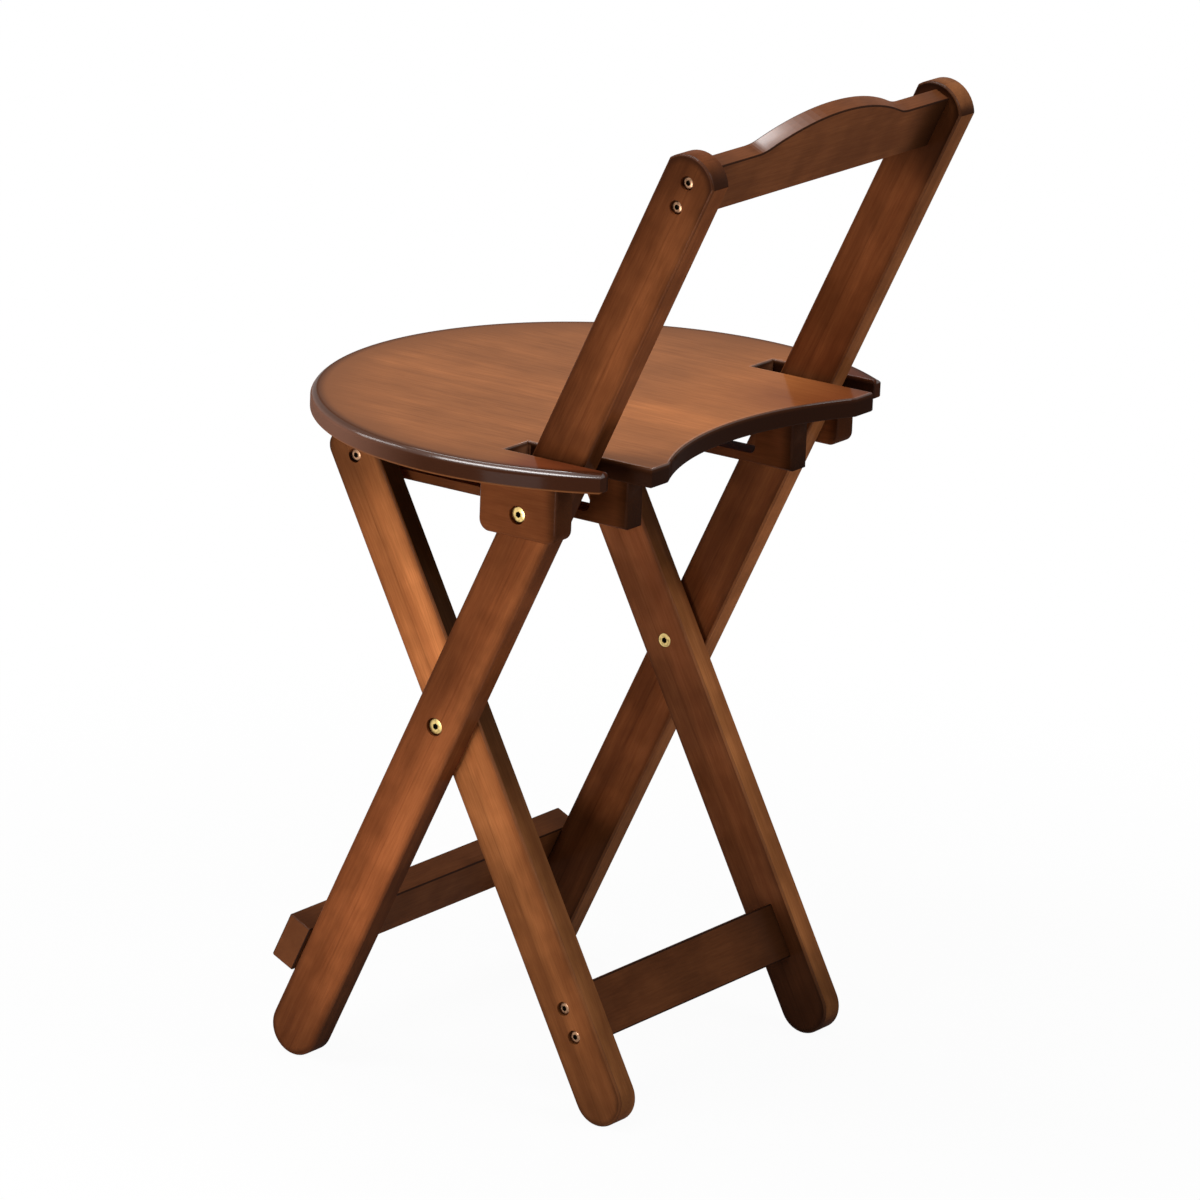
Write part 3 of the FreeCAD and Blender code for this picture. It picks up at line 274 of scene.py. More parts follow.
def wood_grain_group():
    """Lengthwise figure of stained wood: the grain runs along the vector's Z."""
    name = "Wood grain"
    if name in bpy.data.node_groups:
        return bpy.data.node_groups[name]
    tree, given, result = new_group(name, "ShaderNodeTree", [
        ("Vector", "NodeSocketVector", None),
        ("Figure Width", "NodeSocketFloat", 0.006),
        ("Length Stretch", "NodeSocketFloat", 0.06),
        ("Base", "NodeSocketColor", (0.2, 0.1, 0.05, 1)),
        ("Streak", "NodeSocketColor", (0.4, 0.2, 0.1, 1)),
        ("Streak Amount", "NodeSocketFloat", 0.5),
        ("Cloud Amount", "NodeSocketFloat", 0.45),
    ], [
        ("Color", "NodeSocketColor", None),
        ("Fibre", "NodeSocketFloat", None),
        ("Height", "NodeSocketFloat", None),
    ])
    along = tree.join(1.0, 1.0, given.outputs["Length Stretch"])
    stretched = tree.node("ShaderNodeVectorMath", {"operation": "MULTIPLY"},
                          _0=given.outputs["Vector"], _1=along)
    scaled = tree.node("ShaderNodeVectorMath", {"operation": "DIVIDE"}, _0=stretched)
    width = given.outputs["Figure Width"]
    tree.feed(tree.join(width, width, width), scaled.inputs[1])
    # From here on a length of 1 is one figure width.
    figure = tree.noise(scaled, 0.55, 3.0, 0.5, 0.35)
    broad = tree.noise(scaled, 0.16, 2.0, 0.5, 0.2)
    fibre = tree.noise(scaled, 4.5, 3.0, 0.65)
    pores = tree.noise(scaled, 11.0, 2.0, 0.6)
    streaks = tree.math("MULTIPLY_ADD", broad, 0.55, tree.times(figure, 0.45))
    light = tree.ramp_between(streaks, 0.38, 0.68)
    streak = tree.times(light, given.outputs["Streak Amount"])
    colour = tree.mix(streak, given.outputs["Base"], given.outputs["Streak"])
    fine = tree.ramp_between(fibre, 0.25, 0.78)
    colour = tree.mix(0.34, colour, tree.mix(fine, *FIBRE_TONES), "MULTIPLY")
    clouds = tree.ramp_between(tree.noise(given.outputs["Vector"], 26.0, 2.0), 0.36, 0.64)
    colour = tree.mix(given.outputs["Cloud Amount"], colour, tree.mix(clouds, *CLOUD_TONES), "MULTIPLY")
    pore = tree.ramp_between(pores, 0.66, 0.80)
    colour = tree.mix(tree.times(pore, 0.30), colour, PORE_TONE, "MULTIPLY")
    tree.feed(colour, result.inputs["Color"])
    tree.feed(fine, result.inputs["Fibre"])
    height = tree.math("MULTIPLY_ADD", pore, -0.6, tree.times(fine, 0.4))
    tree.feed(height, result.inputs["Height"])
    return tree.tree


def board_edge_group():
    """Share of the darker stain round a board's outline: 0 in the middle and 1 at the edge.

    The board lies along the vector's Z, its width along Y.
    """
    name = "Board edge stain"
    if name in bpy.data.node_groups:
        return bpy.data.node_groups[name]
    tree, given, result = new_group(name, "ShaderNodeTree", [
        ("Vector", "NodeSocketVector", None),
        ("Half Width", "NodeSocketFloat", 0.02),
        ("Low End", "NodeSocketFloat", -0.2),
        ("High End", "NodeSocketFloat", 0.2),
        ("Band", "NodeSocketFloat", 0.01),
        ("End Band", "NodeSocketFloat", 0.05),
    ], [("Edge", "NodeSocketFloat", None), ("End", "NodeSocketFloat", None)])
    _, across, along = tree.split(given.outputs["Vector"])
    beyond = tree.math("MAXIMUM", tree.math("SUBTRACT", along, given.outputs["High End"]),
                       tree.math("SUBTRACT", given.outputs["Low End"], along))
    reach = tree.length(across, tree.math("MAXIMUM", beyond, 0.0))
    inside = tree.math("SUBTRACT", given.outputs["Half Width"], reach)
    wobble = tree.times(tree.noise(given.outputs["Vector"], 60.0, 2.0), 0.003)
    edge = tree.outside(tree.math("ADD", inside, wobble), 0.0015, given.outputs["Band"])
    tree.feed(edge, result.inputs["Edge"])
    start = tree.times(given.outputs["End Band"], -1.0)
    tree.feed(tree.ramp_between(beyond, start, 0.012), result.inputs["End"])
    return tree.tree


def lacquer(tree, material, colour, grain, shine, coat_rough=0.16, coat_ior=1.5):
    """Finish a wood material: dull lacquer, but glossy where shine is 1, as along rounded edges.

    grain is the wood grain's node; coat_rough and coat_ior say how soft and how strong the gloss is.
    """
    shader = material.node_tree.nodes["Principled BSDF"]
    tree.feed(colour, shader.inputs["Base Color"])
    roughness = tree.node("ShaderNodeMapRange", _0=grain.outputs["Fibre"], _1=0.0, _2=1.0,
                          _3=WOOD_ROUGHNESS[1], _4=WOOD_ROUGHNESS[0])
    tree.feed(roughness, shader.inputs["Roughness"])
    bump = tree.node("ShaderNodeBump", Strength=0.10, Distance=0.0004,
                     Height=grain.outputs["Height"])
    tree.feed(bump, shader.inputs["Normal"])
    tree.feed(tree.math("MULTIPLY_ADD", shine, 0.92, 0.03), shader.inputs["Coat Weight"])
    shader.inputs["Coat Roughness"].default_value = coat_rough
    shader.inputs["Coat IOR"].default_value = coat_ior
    shader.inputs["Specular IOR Level"].default_value = 0.0
    return material


def new_material(name):
    """An empty node material and its helper."""
    material = bpy.data.materials.new(name)
    material.use_nodes = True
    return material, Tree(material.node_tree)


def tone_along(tree, colour, along, tones, tint=NO_TINT):
    """Lighter and darker colour along a piece, for stain and for painted light and shade: each tone is
    (place, share of the colour), from low to high.
    """
    most = max(share for _, share in tones)
    low, high = tones[0][0], tones[-1][0]
    ramp = tree.node("ShaderNodeValToRGB", _0=tree.ramp_between(along, low, high, smooth=False))
    ramp.color_ramp.interpolation = "EASE"
    stops = ramp.color_ramp.elements
    while len(stops) < len(tones):
        stops.new(0.5)
    for stop, (place, share) in zip(stops, tones):
        stop.position = (place - low) / (high - low)
        stop.color = (*(share / most * part for part in tint), 1.0)
    toned = tree.node("ShaderNodeVectorMath", {"operation": "MULTIPLY"}, _0=colour, _1=ramp)
    return tree.node("ShaderNodeVectorMath", {"operation": "SCALE"}, Vector=toned, Scale=most).outputs[0]


def facing(tree):
    """How a face looks: squarely sideways, backwards across the piece and upwards along it, each to 1."""
    return tree.split(tree.node("ShaderNodeAttribute", {"attribute_name": "facing"}).outputs["Vector"])


def between(tree, value):
    """1 on an eased edge, whose face looks neither along nor squarely across a direction."""
    return tree.times(tree.ramp_between(value, 0.10, 0.35), tree.outside(value, 0.90, 0.98))


def own_place(tree, centre, lean=0.0):
    """A point's place from a piece's centre, in the piece's own leaning directions."""
    place = tree.node("ShaderNodeTexCoord").outputs["Object"]
    return tree.node("ShaderNodeMapping", {"vector_type": "TEXTURE"}, Vector=place,
                     Location=tuple(centre), Rotation=(-lean, 0.0, 0.0))


def wood_grain(tree, vector, base, streak, width, amount):
    """Place the wood grain group in a material, with its two colours, its width and its streaks' share."""
    grain = tree.node("ShaderNodeGroup", {"node_tree": wood_grain_group()}, Vector=vector,
                      Base=tuple(base), Streak=tuple(streak))
    grain.inputs["Figure Width"].default_value = width
    grain.inputs["Streak Amount"].default_value = amount
    return grain


def board_material(name, centre, lean, shift, half_width, low, high, band=0.007, end_band=0.05,
                   streak=0.75, dark=0.55, tones=None, rear=None, tint=NO_TINT, rear_sheen_tint=NO_TINT,
                   joint_line=None, head_shade_from=0.0):
    """Stained wood for one board: centre and lean place the pattern, shift picks its own figure.

    low and high are the middles of its round ends along the board. band and end_band are the widths
    of the darker stain at its edges and ends, and dark is how dark it gets. tones are the colour's
    shares along its flat faces and rear along its rear edge, partly stain and partly painted light and
    shade, and rear_sheen_tint greys the rear edge as a painted sheen. joint_line is where two glued strips
    meet across the board, and head_shade_from where the painted shade on its round head starts, in half
    widths.
    """
    material, tree = new_material(name)
    local = own_place(tree, centre, lean)
    moved = tree.node("ShaderNodeMapping", Vector=local, Location=(shift * 0.37, shift * 0.21, shift * 1.3))
    tone = colours()
    grain = wood_grain(tree, moved, tone.board, tone.board_streak, sizes().grain_width, streak)
    edge = tree.node("ShaderNodeGroup", {"node_tree": board_edge_group()}, Vector=local)
    for label, value in (("Half Width", half_width), ("Low End", low), ("High End", high),
                         ("Band", band), ("End Band", end_band)):
        edge.inputs[label].default_value = value
    sideways, backwards, upwards = facing(tree)
    flat = tree.ramp_between(sideways, *SQUARELY)
    side = tree.math("SUBTRACT", 1.0, flat)
    share = tree.math("MINIMUM", tree.math("MULTIPLY_ADD", edge.outputs["Edge"], dark,
                                          tree.times(edge.outputs["End"], 0.45)), 1.0)
    share = tree.times(share, tree.math("MULTIPLY_ADD", flat, 0.75, 0.25))
    colour = grain.outputs["Color"]
    _, across, along = tree.split(local)
    if joint_line is not None:
        colour = tone_along(tree, colour, across, [(place * half_width, part) for place, part in STRIP_TONES])
        from_line = tree.math("ABSOLUTE", tree.math("SUBTRACT", across, joint_line))
        line = tree.outside(from_line, 0.0001, 0.0009)
        colour = tree.mix(tree.times(line, 0.25), colour, GLUE_TONE, "MULTIPLY")
    colour = tree.mix(share, colour, tone.board_burnt)
    # Stain and painted light and shade along the flat faces.
    face = tone_along(tree, colour, along, tones, tint)
    if rear:
        # The rear edge and the head's arc take the rear tones, partly stain and partly painted light and
        # shade, greyed by a painted sheen.
        arc = tree.times(tree.ramp_between(upwards, 0.10, 0.18), side)
        colour = tree.mix(tree.math("MAXIMUM", arc, tree.ramp_between(backwards, *SQUARELY)), face,
                          tone_along(tree, colour, along, rear, rear_sheen_tint))
        # Painted shade: the head's arc darkens towards its rear corner.
        head_shade = tree.times(arc, tree.ramp_between(across, head_shade_from * half_width, 0.98 * half_width))
        colour = tree.mix(tree.times(head_shade, 0.94), colour, shaded(tone.board_burnt, 0.6))
    else:
        colour = face
    eased = between(tree, sideways)
    top = tree.times(side, tree.ramp_between(upwards, 0.3, 0.8))
    head_edge = tree.times(eased, tree.ramp_between(upwards, 0.45, 0.75))
    shine = tree.math("MULTIPLY_ADD", head_edge, 0.35, tree.times(eased, 0.05))
    shine = tree.math("MAXIMUM", shine, tree.times(top, 0.06))
    return lacquer(tree, material, colour, grain, shine)


class SeatPlaces:
    """Distances over the seat, as nodes of its material, which its stain, its painted light and shade and its
    gloss follow.

    rim and opening are how far a point lies inside the round rim and outside the slots and the hollow.
    """

    def __init__(self, tree, shape):
        self.local = own_place(tree, PIVOT)
        self.x, self.y, self.z = tree.split(self.local)
        self.from_middle = tree.math("ADD", self.y, shape.centre_forward)
        self.rim = tree.math("SUBTRACT", shape.radius, tree.length(self.x, self.from_middle))
        self.wide = tree.math("ABSOLUTE", self.x)
        from_slot = tree.math("ABSOLUTE", tree.math("SUBTRACT", self.wide, shape.slot_middle))
        self.slot_side = tree.math("SUBTRACT", from_slot, shape.slot_half)
        self.slot_end = tree.math("SUBTRACT", -shape.slot_front, self.y)
        slot = tree.math("MAXIMUM", self.slot_side, self.slot_end)
        hollow_y = tree.math("SUBTRACT", self.y, shape.hollow_centre)
        hollow = tree.math("SUBTRACT", tree.length(self.x, hollow_y), shape.hollow_radius)
        tip = tree.math("SUBTRACT", shape.lobe_reach, self.y)
        self.opening = tree.math("MINIMUM", slot, tree.math("MINIMUM", hollow, tip))


def seat_top_wood_and_painted_light(tree, at, shape, grain):
    """The seat's upper face: burnt along its rim and its openings, with painted light behind the pivots and
    painted shade, darker and redder, on its right rear lobe and its tongues.
    """
    tone = colours()
    wobble = tree.math("MULTIPLY_ADD", tree.noise(at.local, 18.0, 3.0), 0.016, -0.008)
    colour = tree.mix(tree.outside(tree.math("ADD", at.rim, wobble), *RIM_SHADE), grain.outputs["Color"],
                      tree.mix(0.45, tone.seat, tone.seat_burnt))
    # Painted light: the seat lighter behind the pivots, towards its right.
    rear_painted_light = tree.times(tree.ramp_between(at.y, -0.07, 0.0), tree.ramp_between(at.x, 0.10, 0.02))
    colour = tree.mix(rear_painted_light, colour, REAR_LIGHT_TONE, "MULTIPLY")
    # Painted shade, darker and redder, on the right rear lobe beside the right post.
    lobe_shade_mask = tree.times(tree.ramp_between(at.y, -0.03, 0.08), tree.ramp_between(at.x, -0.01, -0.09))
    colour = tree.mix(tree.times(lobe_shade_mask, 0.85), colour, tone.lobe_shade)
    # Painted shade, deep red, on the tongues outside the slots, beside the posts.
    tongue_shade_mask = tree.times(tree.ramp_between(at.y, -0.022, 0.012),
                           tree.ramp_between(at.wide, shape.slot_outer - 0.012, shape.slot_outer + 0.002))
    colour = tree.mix(tree.times(tongue_shade_mask, 0.80), colour, tone.tongue_shade)
    colour = tree.mix(tree.times(tree.outside(at.rim, *RIM_BURN), 0.85), colour, tone.seat_burnt)
    return tree.mix(tree.times(tree.outside(at.opening, *OPENING_BURN), 0.92), colour, tone.seat_burnt)


def seat_side_wood_and_painted_light(tree, at, shape, grain):
    """Below the seat's upper face: its rim's side, the sides of its openings and its underside, with a
    painted reflection round the front, a painted highlight along the lower edge and painted light on the
    slots' front ends.
    """
    tone = colours()
    # Painted reflection: the dark burnt side turns lighter and greyer round the seat's front.
    front = tree.outside(at.from_middle, -0.11, 0.0)
    colour = tree.mix(front, tone.seat_burnt, tone.front_side_sheen)
    # Painted highlight: a thin light line along the rim's lower edge.
    low_edge_highlight = tree.outside(at.z, shape.low + 0.0008, shape.low + 0.0020)
    on_rim = tree.outside(at.rim, 0.0012, 0.0030)
    colour = tree.mix(tree.times(low_edge_highlight, tree.times(on_rim, 0.55)), colour, tone.seat)
    # The sides of the slots and the hollow near black: burnt stain and painted shade.
    colour = tree.mix(tree.outside(at.opening, 0.0008, 0.0030), colour, shaded(tone.seat_burnt, 0.5))
    # Painted light on the lit front ends of the slots.
    at_end = tree.outside(tree.math("ABSOLUTE", at.slot_end), 0.0016, 0.0024)
    lit_slot_end = tree.times(tree.math("LESS_THAN", at.slot_side, 0.0), at_end)
    colour = tree.mix(lit_slot_end, colour, tone.slot_end)
    inward = tree.times(tree.ramp_between(at.rim, *UNDERSIDE), tree.ramp_between(at.opening, *UNDERSIDE))
    under = tree.times(tree.outside(at.z, shape.low + 0.0001, shape.low + 0.0004), inward)
    return tree.mix(tree.times(under, 0.8), colour, grain.outputs["Color"])


def seat_gloss(tree, at, shape):
    """Gloss on the seat's rounded rim, more towards its rear, and a little on its face and other edges."""
    rounded = tree.times(tree.outside(at.rim, 0.0035, 0.0050),
                         tree.ramp_between(at.z, shape.top - 0.0034, shape.top - 0.0024))
    to_rear = tree.math("MULTIPLY_ADD", tree.ramp_between(at.from_middle, -0.05, 0.07), 0.75, 0.25)
    rounded = tree.times(rounded, to_rear)
    crisp = tree.times(tree.outside(at.opening, 0.0012, 0.0020),
                       tree.ramp_between(at.z, shape.top - 0.0014, shape.top - 0.0008))
    rounded = tree.math("MAXIMUM", rounded, tree.times(crisp, 0.5))
    flat = tree.times(tree.ramp_between(at.z, shape.top - 0.0004, shape.top - 0.0001),
                      tree.ramp_between(at.rim, 0.0045, 0.0060))
    return tree.math("MULTIPLY_ADD", flat, 0.09, rounded)


def seat_material():
    """Stained seat: lighter in the middle, burnt along its rim, slots and hollow, with painted light and
    shade in places.
    """
    material, tree = new_material("seat_wood_and_painted_light")
    shape = SeatShape()
    at = SeatPlaces(tree, shape)
    lain = tree.node("ShaderNodeMapping", Vector=at.local, Rotation=(-LYING, 0.0, 0.0),
                     Location=(0.31, 0.12, 0.4))
    seat = colours().seat
    grain = wood_grain(tree, lain, shaded(seat, 0.84), shaded(seat, 1.18), sizes().grain_width * 1.5, 0.8)
    grain.inputs["Cloud Amount"].default_value = 0.15
    below = tree.outside(at.z, shape.top - 0.004, shape.top - 0.0008)
    colour = tree.mix(tree.times(below, 0.9), seat_top_wood_and_painted_light(tree, at, shape, grain),
                      seat_side_wood_and_painted_light(tree, at, shape, grain))
    return lacquer(tree, material, colour, grain, seat_gloss(tree, at, shape), coat_rough=0.14, coat_ior=1.75)


def rail_material(name, centre, lean, half_length, shift, shade, gloss, far_shadow):
    """Stained wood for a crosswise rail: its grain runs along X, its edges are dark, its top is glossy and
    its end faces are lighter with painted light.

    shift picks its own figure, shade is its colour's share of the boards', gloss its top's share of
    the crest's gloss and far_shadow how dark a painted shadow makes it at its right end, where it meets the
    right board.
    """
    material, tree = new_material(name)
    local = own_place(tree, centre, lean)
    lain = tree.node("ShaderNodeMapping", Vector=local, Rotation=(0.0, LYING, 0.0),
                     Location=(shift * 0.31, shift * 0.17, shift))
    tone = colours()
    grain = wood_grain(tree, lain, shaded(tone.board, shade), shaded(tone.board_streak, shade),
                       sizes().grain_width, 0.35)
    x = tree.split(local)[0]
    sideways, backwards, upwards = facing(tree)
    end = tree.ramp_between(tree.math("ABSOLUTE", x), half_length - 0.035, half_length)
    colour = tree.mix(tree.times(end, 0.5), grain.outputs["Color"], tone.board_burnt)
    # Painted shadow on the front and rear faces at the right end, next to the right board.
    far_shadow_mask = tree.times(tree.ramp_between(x, 0.052 - half_length, 0.004 - half_length),
                         tree.ramp_between(tree.math("ABSOLUTE", backwards), *SQUARELY))
    colour = tree.mix(tree.times(far_shadow_mask, far_shadow), colour, shaded(tone.board_burnt, 0.35))
    # Painted light: the end faces lighter and a little greyer.
    colour = tone_along(tree, colour, sideways, ((0.0, 1.0), (0.8, 1.0), (1.0, 1.62)), (0.95, 1.05, 1.10))
    eased = between(tree, tree.math("ABSOLUTE", backwards))
    colour = tree.mix(tree.times(eased, 0.85), colour, tone.rail_edge)
    top = tree.times(tree.ramp_between(upwards, 0.5, 0.8), tree.math("SUBTRACT", 1.0, eased))
    rise = tree.times(tree.ramp_between(sideways, 0.06, 0.30), tree.ramp_between(x, 0.0, 0.03))
    shine = tree.times(top, tree.math("MULTIPLY_ADD", rise, 0.92 * gloss, 0.08 * gloss))
    return lacquer(tree, material, colour, grain, shine, coat_rough=0.28, coat_ior=1.9)


def metal_material(name, colour, rough, darker=0.55):
    """Plated metal with fine turning marks and painted shade in its sockets; darker is the share left in its
    dull patches.
    """
    material, tree = new_material(name)
    place = tree.node("ShaderNodeTexCoord").outputs["Object"]
    patch = tree.noise(place, 420.0, 3.0)
    marks = tree.noise(place, 2600.0, 2.0)
    shader = material.node_tree.nodes["Principled BSDF"]
    worn = tree.mix(tree.ramp_between(patch, 0.40, 0.72), colour, shaded(colour, darker))
    # Painted shade: the socket's faces, marked as recess, take the near-black socket colour.
    recess = tree.node("ShaderNodeAttribute", {"attribute_name": "recess"}).outputs["Fac"]
    tree.feed(tree.mix(recess, worn, colours().socket), shader.inputs["Base Color"])
    shader.inputs["Metallic"].default_value = 1.0
    tree.feed(tree.node("ShaderNodeMapRange", _0=marks, _1=0.3, _2=0.7, _3=rough, _4=rough + 0.14),
              shader.inputs["Roughness"])
    bump = tree.node("ShaderNodeBump", Strength=0.06, Distance=0.0001, Height=marks)
    tree.feed(bump, shader.inputs["Normal"])
    return material


# Meshes

MERGE = 0.00001             # metres within which a CAD mesh's loose corners are one
FINE_MERGE = 0.000002       # the same for the small fasteners
FLAT_ANGLE, SHARP_ANGLE = 0.6, 62       # degrees: faces that are one, and edges that stay sharp


def add_object(name, mesh):
    """Put a mesh in the scene under a piece's name."""
    made = bpy.data.objects.new(name, mesh)
    bpy.context.scene.collection.objects.link(made)
    return made


def applied(piece):
    """Turn a piece's modifiers into plain mesh."""
    bpy.context.view_layer.update()
    evaluated = piece.evaluated_get(bpy.context.evaluated_depsgraph_get())
    mesh = bpy.data.meshes.new_from_object(evaluated)
    old = piece.data
    piece.modifiers.clear()
    piece.data = mesh
    mesh.name = piece.name
    if old.users == 0:
        bpy.data.meshes.remove(old)
    return piece


def set_material(piece, material):
    """Give a piece one material."""
    piece.data.materials.clear()
    piece.data.materials.append(material)


def finer_copy(node, name, lean):
    """A CAD node's mesh, merged and with soft light over its eased edges, as a new piece.

    Each face keeps the way it looks, in the piece's own leaning directions, for its material.
    """
    mesh = bpy.data.meshes.new(name)
    work = bmesh.new()
    work.from_mesh(frame["nodes"][node].data)
    bmesh.ops.remove_doubles(work, verts=work.verts, dist=MERGE)
    bmesh.ops.dissolve_limit(work, angle_limit=math.radians(FLAT_ANGLE), verts=work.verts, edges=work.edges)
    across = Vector((0, math.cos(lean), -math.sin(lean)))
    along = Vector((0, math.sin(lean), math.cos(lean)))
    looks = work.faces.layers.float_vector.new("facing")
    for face in work.faces:
        face.smooth = True
        face[looks] = (abs(face.normal.x), face.normal.dot(across), face.normal.dot(along))
    for edge in work.edges:
        edge.smooth = len(edge.link_faces) != 2 or edge.calc_face_angle(0.0) < math.radians(SHARP_ANGLE)
    work.to_mesh(mesh)
    work.free()
    piece = add_object(name, mesh)
    return lit_by_area(piece)


def lit_by_area(piece):
    """Keep the light flat over a piece's large faces and soft over its eased edges."""
    soft = piece.modifiers.new("soft_light", "WEIGHTED_NORMAL")
    soft.mode = "FACE_AREA"
    soft.weight = 100
    soft.keep_sharp = True
    return applied(piece)


def dress(node, name, body, material, lean):
    """Put a finer copy of a wooden CAD node in its place."""
    piece = finer_copy(node, name, lean)
    set_material(piece, material)
    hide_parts(node)
    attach(piece, body)
    return piece


class SeatShape:
    """The seat's measures, from the seat pivot's axis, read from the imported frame."""
    outer_play, inner_play = 0.002, 0.0055      # from a post's faces to the sides of its slot
    slot_front = 0.0252                         # from the pivot forwards to the slots' front ends
    lobe_end, tongue_end = 0.020, 0.009         # widths of the flat rear ends beside the slots
    hollow_floor = 0.049                        # from the pivot back to the hollow's deepest place

    def __init__(self):
        low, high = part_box("seat_board")
        self.low = low.z - PIVOT.z
        self.top = high.z - PIVOT.z
        self.radius = (high.x - low.x) / 2
        self.centre_forward = PIVOT.y - low.y - self.radius
        post_low, post_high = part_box("left_long_board")
        self.slot_outer = post_high.x + self.outer_play
        self.slot_inner = post_low.x - self.inner_play
        self.slot_middle = (self.slot_outer + self.slot_inner) / 2
        self.slot_half = (self.slot_outer - self.slot_inner) / 2
        self.lobe_reach = high.y - PIVOT.y
        self.hollow_half = self.slot_inner - self.lobe_end
        depth = self.lobe_reach - self.hollow_floor
        self.hollow_radius = (self.hollow_half ** 2 + depth ** 2) / (2 * depth)
        self.hollow_centre = self.hollow_floor + self.hollow_radius
        self.tongue_rim = self.slot_outer + self.tongue_end

    def outline(self, steps):
        """Points anticlockwise round the seat, from its right tongue; each with True on the rim."""
        start = math.asin(self.tongue_rim / self.radius)
        count = max(8, round(steps * (1 - start / math.pi)))
        points = []
        for index in range(count + 1):
            turn = math.pi / 2 + start + (2 * math.pi - 2 * start) * index / count
            points.append((self.radius * math.cos(turn),
                           self.radius * math.sin(turn) - self.centre_forward, True))
        back = points[-1][1]
        points += [(self.slot_outer, back, False), (self.slot_outer, -self.slot_front, False),
                   (self.slot_inner, -self.slot_front, False), (self.slot_inner, self.lobe_reach, False)]
        sweep = math.asin(self.hollow_half / self.hollow_radius)
        bends = max(12, steps // 6)
        for index in range(bends + 1):
            turn = sweep - 2 * sweep * index / bends
            points.append((self.hollow_radius * math.sin(turn),
                           self.hollow_centre - self.hollow_radius * math.cos(turn), False))
        points += [(-self.slot_inner, self.lobe_reach, False), (-self.slot_inner, -self.slot_front, False),
                   (-self.slot_outer, -self.slot_front, False), (-self.slot_outer, back, False)]
        return points


# Fasteners, made with Geometry Nodes

HEAD_SIDES, SHANK_SIDES, CORE_SIDES, RING_SIDES, BARREL_SIDES = 48, 32, 24, 56, 40
CROWN_SHARE = 0.6                       # a rounded shoulder's height, as a share of its width
SOCKET_SHARE = 2 / 3                    # a socket's depth, as a share of its head's height
CORE_SHARE, RIDGE_SHARE = 0.80, 0.18    # a thread's core and ridge, as shares of the shank's radius
THREAD_INSET = 0.0005                   # from the ends of a shank's threaded part to the ridge's ends
OVERLAP = 0.0004                        # how far a ring's barrel reaches into its flange
PAST_END = 0.002                        # how far a bore's cutter stands out of a ring
FASTENER_SHARP = 35                     # degrees: edges of the fasteners that stay sharp
SCREW = {"Head Radius": 0.004, "Head Height": 0.0025, "Shank Radius": 0.0025, "Socket Flats": 0.0035}
PIVOT_BOLT = {"Head Radius": 0.0055, "Head Height": 0.003, "Shank Radius": 0.003, "Socket Flats": 0.004}
SCREW_THREAD, THREAD_SHARE = 0.026, 0.6      # a wood screw's thread: its most, and its share of the length
BOLT_THREAD, BOLT_PITCH = 0.012, 0.001


def closed_cylinder(tree, radius, length, top, sides):
    """A closed cylinder along Z whose upper end lies at top."""
    made = tree.node("GeometryNodeMeshCylinder", Vertices=sides, Radius=radius, Depth=length)
    middle = tree.math("SUBTRACT", top, tree.times(length, 0.5))
    return tree.node("GeometryNodeTransform", Geometry=made, Translation=tree.join(0.0, 0.0, middle))


def joined(tree, operation, first, second):
    """Two solids made one, or the second cut out of the first."""
    made = tree.node("GeometryNodeMeshBoolean", {"operation": operation, "solver": "EXACT"})
    tree.feed(first, made.inputs[1 if operation == "UNION" else 0])
    tree.feed(second, made.inputs[1])
    return made.outputs[0]


def only_if(tree, size, plain, changed):
    """The changed solid where a size is above zero, else the plain one."""
    there = tree.node("FunctionNodeCompare", {"data_type": "FLOAT", "operation": "GREATER_THAN"}, _0=size)
    made = tree.node("GeometryNodeSwitch", {"input_type": "GEOMETRY"}, _0=there, _1=plain, _2=changed)
    return made.outputs[0]


def turned_head(tree, radius, height, rounding, sides):
    """A short closed drum below Z zero with a rounded upper rim."""
    crown_height = tree.times(rounding, CROWN_SHARE)
    crown = tree.node("GeometryNodeMeshCone", Vertices=sides, Side_Segments=1, Radius_Bottom=radius,
                      Radius_Top=tree.math("SUBTRACT", radius, rounding), Depth=crown_height)
    drum_top = tree.times(crown_height, -1.0)
    crown = tree.node("GeometryNodeTransform", Geometry=crown, Translation=tree.join(0.0, 0.0, drum_top))
    drum = closed_cylinder(tree, radius, tree.math("ADD", height, drum_top), drum_top, sides)
    return joined(tree, "UNION", crown, drum)


def socketed(tree, solid, flats, depth):
    """Sink a hexagon socket in from Z zero and mark its faces with the recess attribute, which the metal
    material paints with shade.
    """
    prism = closed_cylinder(tree, tree.math("DIVIDE", flats, math.sqrt(3)), tree.times(depth, 2.0), depth, 6)
    cut = joined(tree, "DIFFERENCE", solid, prism)
    x, y, z = tree.split(tree.node("GeometryNodeInputPosition").outputs[0])
    inside = tree.math("LESS_THAN", tree.length(x, y), tree.times(flats, 0.6))
    sunk = tree.math("LESS_THAN", z, tree.times(depth, -0.3))
    above = tree.math("GREATER_THAN", z, tree.times(depth, -1.1))
    marked = tree.node("GeometryNodeStoreNamedAttribute", {"data_type": "FLOAT", "domain": "FACE"},
                       Geometry=cut, Name="recess",
                       Value=tree.times(inside, tree.times(sunk, above)))
    return marked.outputs[0]


